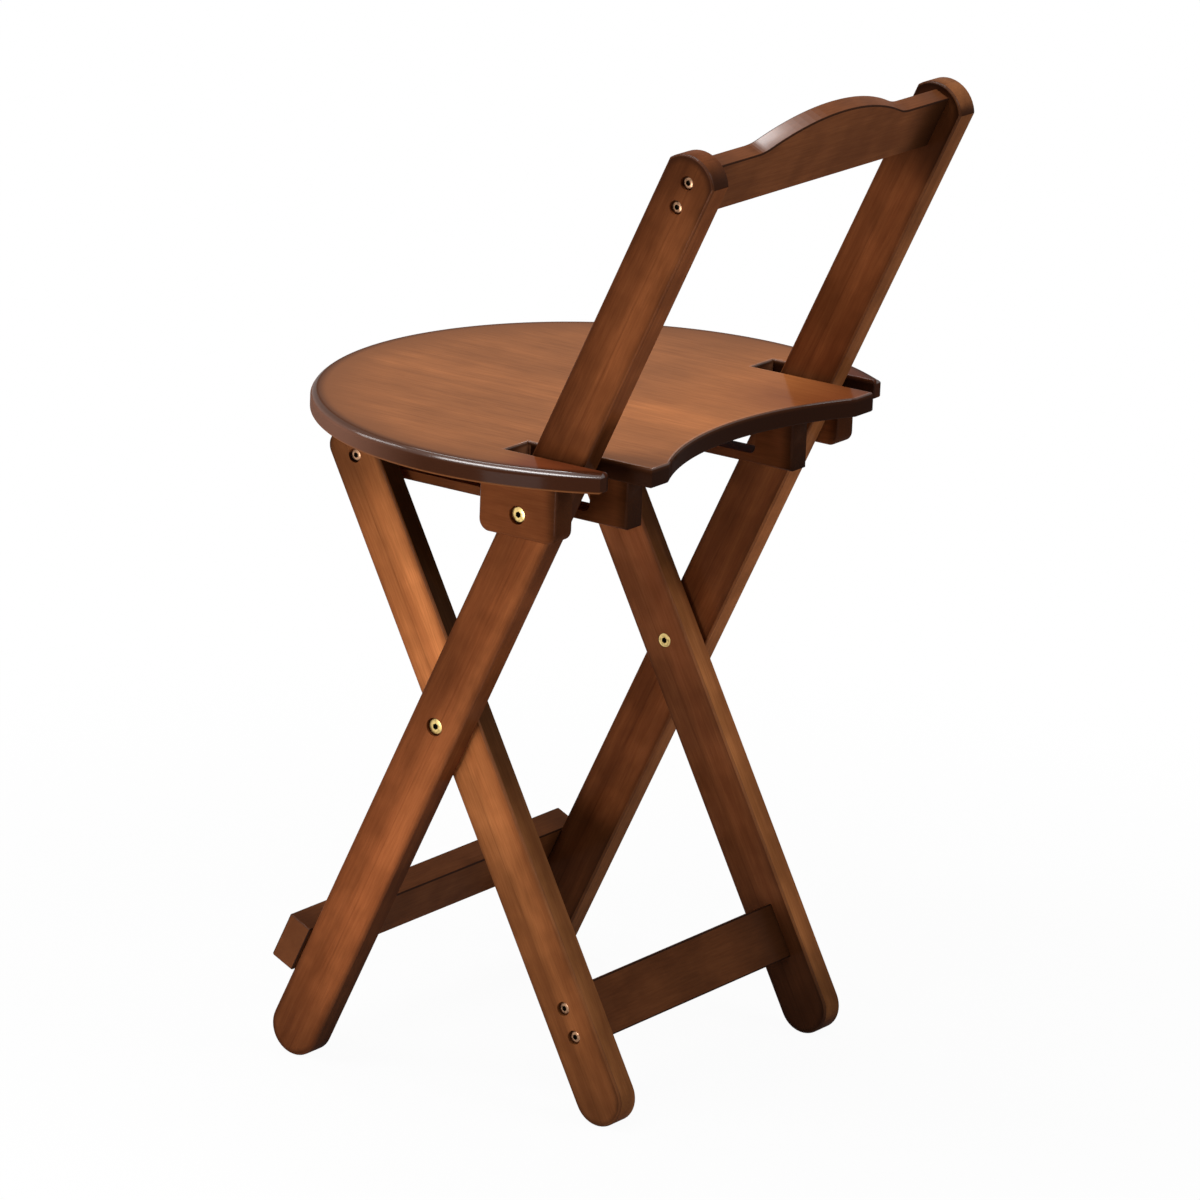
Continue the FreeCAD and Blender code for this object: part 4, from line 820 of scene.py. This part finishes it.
def at_each_point(tree, given, solid, result):
    """End a group: put the solid at every point, turned the way the point looks, and give it its material."""
    looks = tree.node("GeometryNodeInputNamedAttribute", {"data_type": "FLOAT_VECTOR"}, Name="looks")
    turn = tree.node("FunctionNodeAlignRotationToVector", {"axis": "Z"}, Vector=looks.outputs[0])
    placed = tree.node("GeometryNodeInstanceOnPoints", Points=given.outputs["Geometry"], Instance=solid,
                       Rotation=turn)
    real = tree.node("GeometryNodeRealizeInstances", _0=placed)
    dressed = tree.node("GeometryNodeSetMaterial", Geometry=real, Material=given.outputs["Material"])
    tree.feed(dressed, result.inputs[0])
    tree.tree.is_modifier = True
    return tree.tree


def fastener_group():
    """One fastener at each point: a turned head with a hexagon socket, and a shank with a thread."""
    name = "Socket fasteners"
    if name in bpy.data.node_groups:
        return bpy.data.node_groups[name]
    tree, given, result = new_group(name, "GeometryNodeTree", [
        ("Geometry", "NodeSocketGeometry", None),
        ("Head Radius", "NodeSocketFloat", 0.004),
        ("Head Height", "NodeSocketFloat", 0.0025),
        ("Head Rounding", "NodeSocketFloat", 0.0007),
        ("Shank Radius", "NodeSocketFloat", 0.0025),
        ("Shank Length", "NodeSocketFloat", 0.03),
        ("Socket Flats", "NodeSocketFloat", 0.0035),
        ("Thread Pitch", "NodeSocketFloat", 0.0022),
        ("Thread Length", "NodeSocketFloat", 0.02),
        ("Material", "NodeSocketMaterial", None),
    ], [("Geometry", "NodeSocketGeometry", None)])
    head_height, shank_radius = given.outputs["Head Height"], given.outputs["Shank Radius"]
    shank_length, thread_length = given.outputs["Shank Length"], given.outputs["Thread Length"]
    head = turned_head(tree, given.outputs["Head Radius"], head_height, given.outputs["Head Rounding"],
                       HEAD_SIDES)
    head = socketed(tree, head, given.outputs["Socket Flats"], tree.times(head_height, SOCKET_SHARE))

    under = tree.times(head_height, -1.0)
    plain_length = tree.math("SUBTRACT", shank_length, thread_length)
    plain = closed_cylinder(tree, shank_radius, plain_length, under, SHANK_SIDES)
    core_radius = tree.times(shank_radius, CORE_SHARE)
    core_top = tree.math("SUBTRACT", under, plain_length)
    core = closed_cylinder(tree, core_radius, thread_length, core_top, CORE_SIDES)
    turns = tree.math("DIVIDE", thread_length, given.outputs["Thread Pitch"])
    helix = tree.node("GeometryNodeCurveSpiral", Resolution=16, Rotations=turns, Start_Radius=core_radius,
                      End_Radius=core_radius, Height=tree.math("SUBTRACT", thread_length, 2 * THREAD_INSET))
    start = tree.math("SUBTRACT", tree.math("ADD", under, THREAD_INSET), shank_length)
    helix = tree.node("GeometryNodeTransform", Geometry=helix, Translation=tree.join(0.0, 0.0, start))
    ridge = tree.node("GeometryNodeCurvePrimitiveCircle", {"mode": "RADIUS"}, Resolution=4,
                      Radius=tree.times(shank_radius, RIDGE_SHARE))
    thread = tree.node("GeometryNodeCurveToMesh", _0=helix, _1=ridge)
    thread.inputs["Fill Caps"].default_value = True
    whole = tree.node("GeometryNodeJoinGeometry")
    for part in (head, plain, core, thread):
        tree.feed(part, whole.inputs[0])
    return at_each_point(tree, given, whole, result)


def ring_group():
    """A turned ring at each point, such as a washer, a stepped bush, a sleeve nut or a capped nut."""
    name = "Turned rings"
    if name in bpy.data.node_groups:
        return bpy.data.node_groups[name]
    tree, given, result = new_group(name, "GeometryNodeTree", [
        ("Geometry", "NodeSocketGeometry", None),
        ("Radius", "NodeSocketFloat", 0.012),
        ("Length", "NodeSocketFloat", 0.004),
        ("Rounding", "NodeSocketFloat", 0.0004),
        ("Step Radius", "NodeSocketFloat", 0.0),
        ("Step Length", "NodeSocketFloat", 0.0),
        ("Bore", "NodeSocketFloat", 0.0041),
        ("Bore Length", "NodeSocketFloat", 0.01),
        ("Socket Flats", "NodeSocketFloat", 0.0),
        ("Material", "NodeSocketMaterial", None),
    ], [("Geometry", "NodeSocketGeometry", None)])
    length, step_length = given.outputs["Length"], given.outputs["Step Length"]
    under = tree.times(length, -1.0)
    flange = turned_head(tree, given.outputs["Radius"], length, given.outputs["Rounding"], RING_SIDES)
    barrel = closed_cylinder(tree, given.outputs["Step Radius"], tree.math("ADD", step_length, OVERLAP),
                             tree.math("ADD", under, OVERLAP), BARREL_SIDES)
    solid = only_if(tree, step_length, flange, joined(tree, "UNION", flange, barrel))
    bore_length = given.outputs["Bore Length"]
    bore_top = tree.math("ADD", tree.math("SUBTRACT", under, step_length), bore_length)
    bore = closed_cylinder(tree, given.outputs["Bore"], tree.math("ADD", bore_length, PAST_END), bore_top,
                           BARREL_SIDES)
    solid = only_if(tree, bore_length, solid, joined(tree, "DIFFERENCE", solid, bore))
    flats = given.outputs["Socket Flats"]
    solid = only_if(tree, flats, solid, socketed(tree, solid, flats, tree.times(length, SOCKET_SHARE)))
    return at_each_point(tree, given, solid, result)


def place_fasteners(name, group, places, values, material, node, body):
    """Make the fasteners of one CAD node: places are (point, direction of the head)."""
    mesh = bpy.data.meshes.new(name)
    mesh.from_pydata([point for point, _ in places], [], [])
    looks = mesh.attributes.new("looks", "FLOAT_VECTOR", "POINT")
    for index, (_, direction) in enumerate(places):
        looks.data[index].vector = direction
    piece = add_object(name, mesh)
    modifier = piece.modifiers.new("fasteners", "NODES")
    modifier.node_group = group
    for item in group.interface.items_tree:
        if item.in_out == "INPUT" and item.name in values:
            modifier[item.identifier] = values[item.name]
        elif item.in_out == "INPUT" and item.name == "Material":
            modifier[item.identifier] = material
    applied(piece)
    for attribute in [a for a in piece.data.attributes if a.name == "looks"]:
        piece.data.attributes.remove(attribute)
    soften(piece, FASTENER_SHARP)
    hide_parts(node)
    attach(piece, body)
    return piece


def soften(piece, angle):
    """Smooth light over a piece, but for edges sharper than an angle in degrees."""
    work = bmesh.new()
    work.from_mesh(piece.data)
    bmesh.ops.remove_doubles(work, verts=work.verts, dist=FINE_MERGE)
    for face in work.faces:
        face.smooth = True
    for edge in work.edges:
        edge.smooth = len(edge.link_faces) == 2 and edge.calc_face_angle(0.0) < math.radians(angle)
    work.to_mesh(piece.data)
    work.free()


def solid_boxes(node):
    """The box of each separate solid in a CAD node, as (lowest, highest) corners."""
    work = bmesh.new()
    work.from_mesh(frame["nodes"][node].data)
    bmesh.ops.remove_doubles(work, verts=work.verts, dist=MERGE)
    left, boxes = set(work.verts), []
    while left:
        front = [left.pop()]
        island = list(front)
        while front:
            vert = front.pop()
            for edge in vert.link_edges:
                other = edge.other_vert(vert)
                if other in left:
                    left.remove(other)
                    front.append(other)
                    island.append(other)
        boxes.append((Vector([min(v.co[i] for v in island) for i in range(3)]),
                      Vector([max(v.co[i] for v in island) for i in range(3)])))
    work.free()
    return boxes


# Operators


class STOOL_OT_seat(bpy.types.Operator):
    """Make the round seat with its rounded rim, slots and rear hollow"""
    bl_idname = "stool.seat"
    bl_label = "Seat"
    rim_segments, rim_profile = 8, 0.38         # a little flatter than a quarter round
    sharp_angle = 40                            # degrees: edges that stay sharp

    def execute(self, context):
        shape = SeatShape()
        points = shape.outline(sizes().seat_steps)
        work = bmesh.new()
        weight = work.edges.layers.float.new("bevel_weight_edge")
        rings = [[work.verts.new((x, y + PIVOT.y, height + PIVOT.z)) for x, y, _ in points]
                 for height in (shape.low, shape.top)]
        work.faces.new(list(reversed(rings[0])))
        work.faces.new(rings[1])
        count = len(points)
        for index in range(count):
            following = (index + 1) % count
            work.faces.new((rings[0][index], rings[0][following], rings[1][following], rings[1][index]))
        slight = sizes().edge_round / sizes().seat_round
        for level, ring in enumerate(rings):
            for index in range(count):
                edge = work.edges.get((ring[index], ring[(index + 1) % count]))
                on_rim = points[index][2] and points[(index + 1) % count][2]
                edge[weight] = 1.0 if level and on_rim else slight
        work.normal_update()
        mesh = bpy.data.meshes.new("seat_round_board")
        work.to_mesh(mesh)
        work.free()
        piece = add_object("seat_round_board", mesh)
        bevel = piece.modifiers.new("rim", "BEVEL")
        bevel.limit_method = "WEIGHT"
        bevel.width = sizes().seat_round
        bevel.segments = self.rim_segments
        bevel.profile = self.rim_profile
        bevel.miter_outer = "MITER_SHARP"
        bevel.use_clamp_overlap = False
        applied(piece)
        soften(piece, self.sharp_angle)
        lit_by_area(piece)
        set_material(piece, seat_material())
        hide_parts("seat_board")
        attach(piece, "seat")
        return {"FINISHED"}


class STOOL_OT_boards(bpy.types.Operator):
    """Dress the two long boards and the two short legs"""
    bl_idname = "stool.boards"
    bl_label = "Long boards and short legs"

    # Half widths, and the middles of the round ends along a board, from the cross pivots.
    post_half, post_ends = 0.020, (-0.2702, 0.4545)
    leg_half, leg_ends = 0.0195, (-0.2791, 0.200)
    # Stain and painted light and shade along the faces and the rear edges, such as painted shade under the
    # seat and near the footrest and a painted pool of light on the left short leg: place from the cross, and
    # share of the colour.
    post_stain_and_painted_light = {
        "left": ((-0.26, 0.94), (-0.13, 1.44), (-0.02, 1.18), (0.045, 0.84), (0.12, 1.13), (0.15, 1.05),
                 (0.235, 0.62), (0.30, 0.78), (0.45, 0.76)),
        "right": ((-0.27, 0.34), (-0.18, 0.28), (-0.14, 0.95), (-0.08, 1.30), (-0.03, 1.22), (0.02, 0.90),
                  (0.12, 0.72), (0.22, 0.80), (0.37, 0.90), (0.43, 0.42))}
    leg_stain_and_painted_light = {
        "left": ((-0.26, 0.92), (-0.12, 1.02), (-0.04, 1.9), (0.07, 2.5), (0.15, 1.8), (0.19, 1.15)),
        "right": ((-0.27, 0.36), (-0.225, 0.36), (-0.19, 0.80), (-0.12, 1.05), (-0.06, 1.0), (0.03, 1.55),
                  (0.10, 1.7), (0.19, 1.2))}
    post_rear_stain_and_painted_light = {
        "left": ((-0.26, 0.31), (-0.12, 0.50), (0.0, 0.72), (0.12, 0.95), (0.20, 0.35), (0.24, 0.30),
                 (0.262, 0.40), (0.285, 1.05), (0.45, 1.0)),
        "right": ((-0.27, 0.8), (-0.17, 1.0), (0.0, 1.7), (0.12, 1.9), (0.20, 1.2), (0.30, 1.35),
                  (0.45, 1.15))}
    leg_rear_stain_and_painted_light = {
        "left": ((-0.26, 1.05), (-0.12, 0.92), (0.0, 0.45), (0.07, 0.25), (0.15, 0.20), (0.19, 0.20)),
        "right": ((-0.27, 0.8), (-0.22, 1.6), (-0.05, 2.1), (0.02, 1.4), (0.06, 0.7), (0.19, 0.5))}

    # The greyer rear tints below are a painted sheen on the rear edges; the last table gives where the
    # painted shade on each head's arc starts, in half widths.
    post_rear_sheen_tint = {"left": NO_TINT, "right": (1.0, 1.20, 1.28)}
    leg_tint = {"left": (1.0, 1.12, 1.12), "right": (1.0, 1.08, 1.22)}
    leg_rear_sheen_tint = (1.0, 1.22, 1.25)
    head_shade_from = {"left": -0.1, "right": 0.7}

    def execute(self, context):
        for side_name, side in SIDES:
            material = board_material(
                side_name + "_post_wood_and_painted_light", self.middle(side_name + "_long_board"), POST_LEAN,
                1.7 + side * 0.6, self.post_half, *self.post_ends, end_band=0.06,
                tones=self.post_stain_and_painted_light[side_name], rear=self.post_rear_stain_and_painted_light[side_name],
                rear_sheen_tint=self.post_rear_sheen_tint[side_name], joint_line=0.003 * side,
                head_shade_from=self.head_shade_from[side_name])
            dress(side_name + "_long_board", side_name + "_post", "back_frame", material,
                  POST_LEAN)
            material = board_material(
                side_name + "_leg_wood_and_painted_light", self.middle(side_name + "_short_leg"), LEG_LEAN,
                4.1 + side * 0.8, self.leg_half, *self.leg_ends,
                tones=self.leg_stain_and_painted_light[side_name], rear=self.leg_rear_stain_and_painted_light[side_name],
                tint=self.leg_tint[side_name], rear_sheen_tint=self.leg_rear_sheen_tint, joint_line=-0.004)
            dress(side_name + "_short_leg", side_name + "_rear_leg", "leg_frame", material,
                  LEG_LEAN)
        return {"FINISHED"}

    def middle(self, node):
        """Where the cross axis passes the middle of a board's thickness."""
        low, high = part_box(node)
        return ((low.x + high.x) / 2, CROSS.y, CROSS.z)


class STOOL_OT_rails(bpy.types.Operator):
    """Dress the crest rail, the footrest and the rear stretcher"""
    bl_idname = "stool.rails"
    bl_label = "Crest rail, footrest and stretcher"
    # Each rail: CAD node, piece, body and lean, then the last four values of rail_material.
    rail_table = (
        ("crest_rail", "crest", "back_frame", POST_LEAN, 7.3, 0.92, 1.0, 0.85),
        ("footrest_bar", "footrest", "back_frame", POST_LEAN, 9.2, 0.62, 0.15, 0.0),
        ("rear_stretcher", "stretcher", "leg_frame", LEG_LEAN, 11.9, 0.62, 0.15, 0.5))

    def execute(self, context):
        for node, name, body, lean, shift, shade, gloss, far_shadow in self.rail_table:
            low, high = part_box(node)
            material = rail_material(name + "_wood_and_painted_light", (low + high) / 2, lean, (high.x - low.x) / 2,
                                     shift, shade, gloss, far_shadow)
            dress(node, name, body, material, lean)
        return {"FINISHED"}


class STOOL_OT_under_seat(bpy.types.Operator):
    """Dress the brackets and the slotted slide rails under the seat"""
    bl_idname = "stool.under_seat"
    bl_label = "Brackets and slide rails"

    def execute(self, context):
        for side_name, side in SIDES:
            for node, name, shift, shade in (("_outer_bracket", "_bracket", 13.3, 0.88),
                                             ("_slide_rail", "_slide", 17.1, 0.55)):
                low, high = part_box(side_name + node)
                half = (high.y - low.y) / 2
                # Painted shade at the rear end of each bracket and slide rail, darkest at the end and fading
                # over 12 mm.
                tones = ((-half, 0.36 * shade), (0.012 - half, 0.95 * shade), (half, shade))
                material = board_material(
                    side_name + name + "_wood_and_painted_light", (low + high) / 2, LYING, shift + side,
                    (high.z - low.z) / 2, -half, half, band=0.005, end_band=0.01, streak=0.4, dark=0.35,
                    tones=tones)
                dress(side_name + node, side_name + name, "seat", material, LYING)
        return {"FINISHED"}


class STOOL_OT_screws(bpy.types.Operator):
    """Make the wood screws in the boards, rails, brackets and slide rails"""
    bl_idname = "stool.screws"
    bl_label = "Wood screws"

    def execute(self, context):
        brass = metal_material("screw_brass", colours().bronze, 0.20, 0.35)
        steel = metal_material("screw_steel", colours().steel, 0.34)
        forward = Vector((0, -math.cos(POST_LEAN), math.sin(POST_LEAN)))
        for node, body, slot, material, axis in (
                ("crest_screws", "back_frame", "brass", brass, "X"),
                ("stretcher_screws", "leg_frame", "brass", brass, "X"),
                ("footrest_screws", "back_frame", "steel", steel, forward),
                ("bracket_screws", "seat", "steel", steel, Vector((0, 0, -1))),
                ("rail_screws", "seat", "steel", steel, Vector((0, 0, -1)))):
            places = []
            for low, high in solid_boxes(node):
                middle = (low + high) / 2
                looks = Vector((math.copysign(1, middle.x), 0, 0)) if axis == "X" else axis
                length = screw_length(low, high, looks)
                places.append((middle + looks * length / 2, looks))
            values = {**SCREW, "Head Rounding": sizes().head_round,
                      "Shank Length": length - SCREW["Head Height"], "Thread Pitch": sizes().thread_pitch,
                      "Thread Length": min(SCREW_THREAD, length * THREAD_SHARE)}
            place_fasteners("fine_" + node, fastener_group(), places, values, material, node, body)
        return {"FINISHED"}


def screw_length(low, high, looks):
    """A screw's length, from its box and the way that its head looks."""
    size = high - low
    if abs(looks.x) > 0.9:
        return size.x
    if abs(looks.z) > 0.99:
        return size.z
    head = size.x
    return (size.y - head * abs(looks.z)) / abs(looks.y)


class STOOL_OT_pivots(bpy.types.Operator):
    """Make the bolts, sleeve nuts and washers of the pivots and the slide pins"""
    bl_idname = "stool.pivots"
    bl_label = "Pivots and slide pins"
    # Sizes for ring(), in metres.
    sleeve_nut = {"head": 0.003, "bore": 0.00305, "barrel": 0.004, "flats": 0.004}
    washer = {"bore": 0.0041}
    slide_nut = {"flats": 0.004}
    slide_bush = {"head": 0.0074, "bore": 0.00255, "barrel": 0.0045}

    def execute(self, context):
        brass = metal_material("pivot_brass", colours().brass, 0.20)
        pale = metal_material("leg_brass", shaded(colours().brass, 0.9), 0.28)
        rosy = metal_material("slide_bronze", shaded(colours().bronze, 1.4), 0.28)
        steel = metal_material("plated_steel", colours().steel, 0.30)
        for side_name, side in SIDES:
            for pair, finish in (("cross", pale), ("seat_pivot", brass)):
                name = "%s_%s" % (side_name, pair)
                self.bolt(name + "_bolt", side, "back_frame", finish, "brass", PIVOT_BOLT)
                self.ring(name + "_nut", -side, "back_frame", finish, **self.sleeve_nut)
                self.ring(name + "_washer", side, "back_frame", steel, **self.washer)
            self.bolt(side_name + "_slide_bolt", side, "leg_frame", rosy, "steel", SCREW)
            self.ring(side_name + "_slide_nut", -side, "leg_frame", steel, **self.slide_nut)
            self.ring(side_name + "_slide_bush", side, "leg_frame", steel, **self.slide_bush)
        return {"FINISHED"}

    def outer_end(self, node, side):
        """The middle of a piece's end that looks to one side, its length along X and its radius."""
        low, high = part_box(node)
        place = Vector((high.x if side > 0 else low.x, (low.y + high.y) / 2, (low.z + high.z) / 2))
        return place, high.x - low.x, (high.z - low.z) / 2

    def bolt(self, node, side, body, material, slot, shape):
        """One bolt along X, its head towards side; shape holds the sizes of its head and shank."""
        place, length, _ = self.outer_end(node, side)
        values = {**shape, "Head Rounding": sizes().head_round, "Shank Length": length - shape["Head Height"],
                  "Thread Pitch": BOLT_PITCH, "Thread Length": BOLT_THREAD}
        place_fasteners("fine_" + node, fastener_group(), [(place, Vector((side, 0, 0)))], values,
                        material, node, body)

    def ring(self, node, side, body, material, head=0.0, bore=0.0, barrel=0.0, flats=0.0):
        """One turned ring along X, its head towards side.

        head is the length of its wide end and barrel the radius of the rest, if it has a step; bore is
        a hole's radius, which stops at the socket where there is one, and flats the socket's width.
        """
        place, length, radius = self.outer_end(node, side)
        step = length - head if head else 0.0
        bore_length = (step if flats else length + PAST_END) if bore else 0.0
        values = {"Radius": radius, "Length": head or length, "Step Length": step, "Step Radius": barrel,
                  "Bore": bore, "Bore Length": bore_length, "Socket Flats": flats}
        place_fasteners("fine_" + node, ring_group(), [(place, Vector((side, 0, 0)))], values,
                        material, node, body)


class STOOL_OT_stage(bpy.types.Operator):
    """Set up the floor, the soft studio light and the camera"""
    bl_idname = "stool.stage"
    bl_label = "Stage"
    floor_half, floor_drop = 12, 0.0002         # its half width, and how far it lies under the feet
    floor_albedo = 0.80
    shadow_reach = (0.30, 1.0)                  # from the middle, where the shadow fades to white
    white_near = 0.955                          # share of plain white where the shadow is deepest
    air_light = 0.12
    # Each lamp: name, what it points at, azimuth, elevation, distance, width, length and watts.
    lamp_table = (
        ("key_lamp", (0.14, -0.02, 0.22), 95, 8, 0.90, 0.40, 0.40, 4.3),
        ("top_lamp", (0.0, 0.0, 0.50), 320, 69, 1.60, 0.30, 1.40, 10.5),
        ("rim_lamp", (0.16, 0.06, 0.47), 58, 65, 1.50, 0.28, 1.15, 12.0),
        ("front_lamp", (0.16, -0.05, 0.47), 6, 38, 1.50, 0.20, 0.50, 3.6),
        ("back_lamp", (0.0, 0.1, 0.50), 190, 30, 2.20, 1.20, 1.20, 16.0))
    camera_azimuth, camera_elevation, camera_roll = 124.8235, 16.5654, 2.1853
    camera_lens, camera_place = 238.514, (4.3593289, 3.0412998, 1.9057461)

    def execute(self, context):
        self.floor()
        self.lamps()
        self.camera(context)
        context.scene.view_settings.view_transform = "Standard"
        return {"FINISHED"}

    def floor(self):
        """A wide pale floor that looks white to the camera but keeps the shadow."""
        work = bmesh.new()
        bmesh.ops.create_grid(work, x_segments=2, y_segments=2, size=self.floor_half)
        mesh = bpy.data.meshes.new("studio_floor")
        work.to_mesh(mesh)
        work.free()
        floor = add_object("studio_floor", mesh)
        floor.location.z = -self.floor_drop
        material, tree = new_material("pale_floor")
        shader = material.node_tree.nodes["Principled BSDF"]
        shader.inputs["Base Color"].default_value = (*[self.floor_albedo] * 3, 1)
        shader.inputs["Roughness"].default_value = 0.9
        shader.inputs["Specular IOR Level"].default_value = 0.0
        place = tree.node("ShaderNodeTexCoord").outputs["Object"]
        reach = tree.node("ShaderNodeVectorMath", {"operation": "LENGTH"}, _0=place).outputs["Value"]
        far = tree.node("ShaderNodeMapRange", {"interpolation_type": "SMOOTHSTEP"}, _0=reach,
                        _1=self.shadow_reach[0], _2=self.shadow_reach[1], _3=self.white_near, _4=1.0)
        white = tree.node("ShaderNodeEmission", Color=(1, 1, 1), Strength=1.0)
        mixed = tree.node("ShaderNodeMixShader", _0=tree.times(far, seen_ray(tree)),
                          _1=shader.outputs[0], _2=white)
        tree.feed(mixed, material.node_tree.nodes["Material Output"].inputs["Surface"])
        set_material(floor, material)

    def lamps(self):
        """Soft lamps: low beside the sitter's left, overhead, over the near rim, in front and behind."""
        for name, target, azimuth, elevation, distance, width, length, power in self.lamp_table:
            data = bpy.data.lights.new(name, "AREA")
            data.shape = "RECTANGLE"
            data.size = width
            data.size_y = length
            data.energy = power
            lamp = bpy.data.objects.new(name, data)
            bpy.context.scene.collection.objects.link(lamp)
            back = direction(azimuth, elevation)
            ahead = (Vector((0, 1, 0)) - back * back.y).normalized()
            lamp.matrix_world = Matrix((ahead.cross(back), ahead, back)).transposed().to_4x4()
            lamp.location = Vector(target) + back * distance
            lamp.visible_camera = False
        world = bpy.data.worlds.new("studio_air")
        bpy.context.scene.world = world
        world.use_nodes = True
        tree = Tree(world.node_tree)
        world.node_tree.nodes.clear()
        air = tree.node("ShaderNodeBackground", Color=(1, 1, 1), Strength=self.air_light)
        white = tree.node("ShaderNodeBackground", Color=(1, 1, 1), Strength=1.0)
        mixed = tree.node("ShaderNodeMixShader", _0=seen_ray(tree), _1=air, _2=white)
        tree.node("ShaderNodeOutputWorld", Surface=mixed)

    def camera(self, context):
        """The photograph's camera, a long lens a little above the seat."""
        data = bpy.data.cameras.new("studio_camera")
        data.sensor_width = 36.0
        data.lens = self.camera_lens
        data.clip_end = 100.0
        camera = bpy.data.objects.new("studio_camera", data)
        context.scene.collection.objects.link(camera)
        back = direction(self.camera_azimuth, self.camera_elevation)
        turn, roll = math.radians(self.camera_azimuth), math.radians(self.camera_roll)
        right = Vector((math.cos(turn), math.sin(turn), 0))
        up = back.cross(right)
        right, up = (right * math.cos(roll) + up * math.sin(roll),
                     up * math.cos(roll) - right * math.sin(roll))
        camera.matrix_world = Matrix((right, up, back)).transposed().to_4x4()
        camera.location = self.camera_place
        context.scene.camera = camera


def seen_ray(tree):
    """1 for a ray that the camera, a mirror or glass sends, and 0 for one that only lights."""
    path = tree.node("ShaderNodeLightPath").outputs
    return tree.math("MAXIMUM", tree.math("MAXIMUM", path["Is Camera Ray"], path["Is Glossy Ray"]),
                     path["Is Transmission Ray"])


def direction(azimuth, elevation):
    """From the stool towards a viewer, in degrees: from azimuth 0 the view is along +Y."""
    turn, rise = math.radians(azimuth), math.radians(elevation)
    return Vector((math.sin(turn) * math.cos(rise), -math.cos(turn) * math.cos(rise), math.sin(rise)))


class STOOL_PT_panel(bpy.types.Panel):
    """Sizes, colours and steps of the stool"""
    bl_label = "Folding stool"
    bl_idname = "STOOL_PT_panel"
    bl_space_type = "VIEW_3D"
    bl_region_type = "UI"
    bl_category = "Stool"

    def draw(self, context):
        for group in (context.scene.stool_sizes, context.scene.stool_colours):
            for name in group.__annotations__:
                self.layout.prop(group, name)
        for operator in STEPS:
            self.layout.operator(operator.bl_idname)


STEPS = (STOOL_OT_seat, STOOL_OT_boards, STOOL_OT_rails, STOOL_OT_under_seat, STOOL_OT_screws,
         STOOL_OT_pivots, STOOL_OT_stage)
CLASSES = (StoolSizes, StoolColours, *STEPS, STOOL_PT_panel)


def register():
    """Register the add-on's classes and keep its settings in the scene."""
    for kind in CLASSES:
        bpy.utils.register_class(kind)
    bpy.types.Scene.stool_sizes = bpy.props.PointerProperty(type=StoolSizes)
    bpy.types.Scene.stool_colours = bpy.props.PointerProperty(type=StoolColours)


def unregister():
    """Take the add-on's classes and settings away."""
    del bpy.types.Scene.stool_colours
    del bpy.types.Scene.stool_sizes
    for kind in reversed(CLASSES):
        bpy.utils.unregister_class(kind)


def main():
    """Make every piece."""
    register()
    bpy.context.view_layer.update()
    for step in STEPS:
        area, name = step.bl_idname.split(".")
        getattr(getattr(bpy.ops, area), name)()


if __name__ == "__main__":
    main()
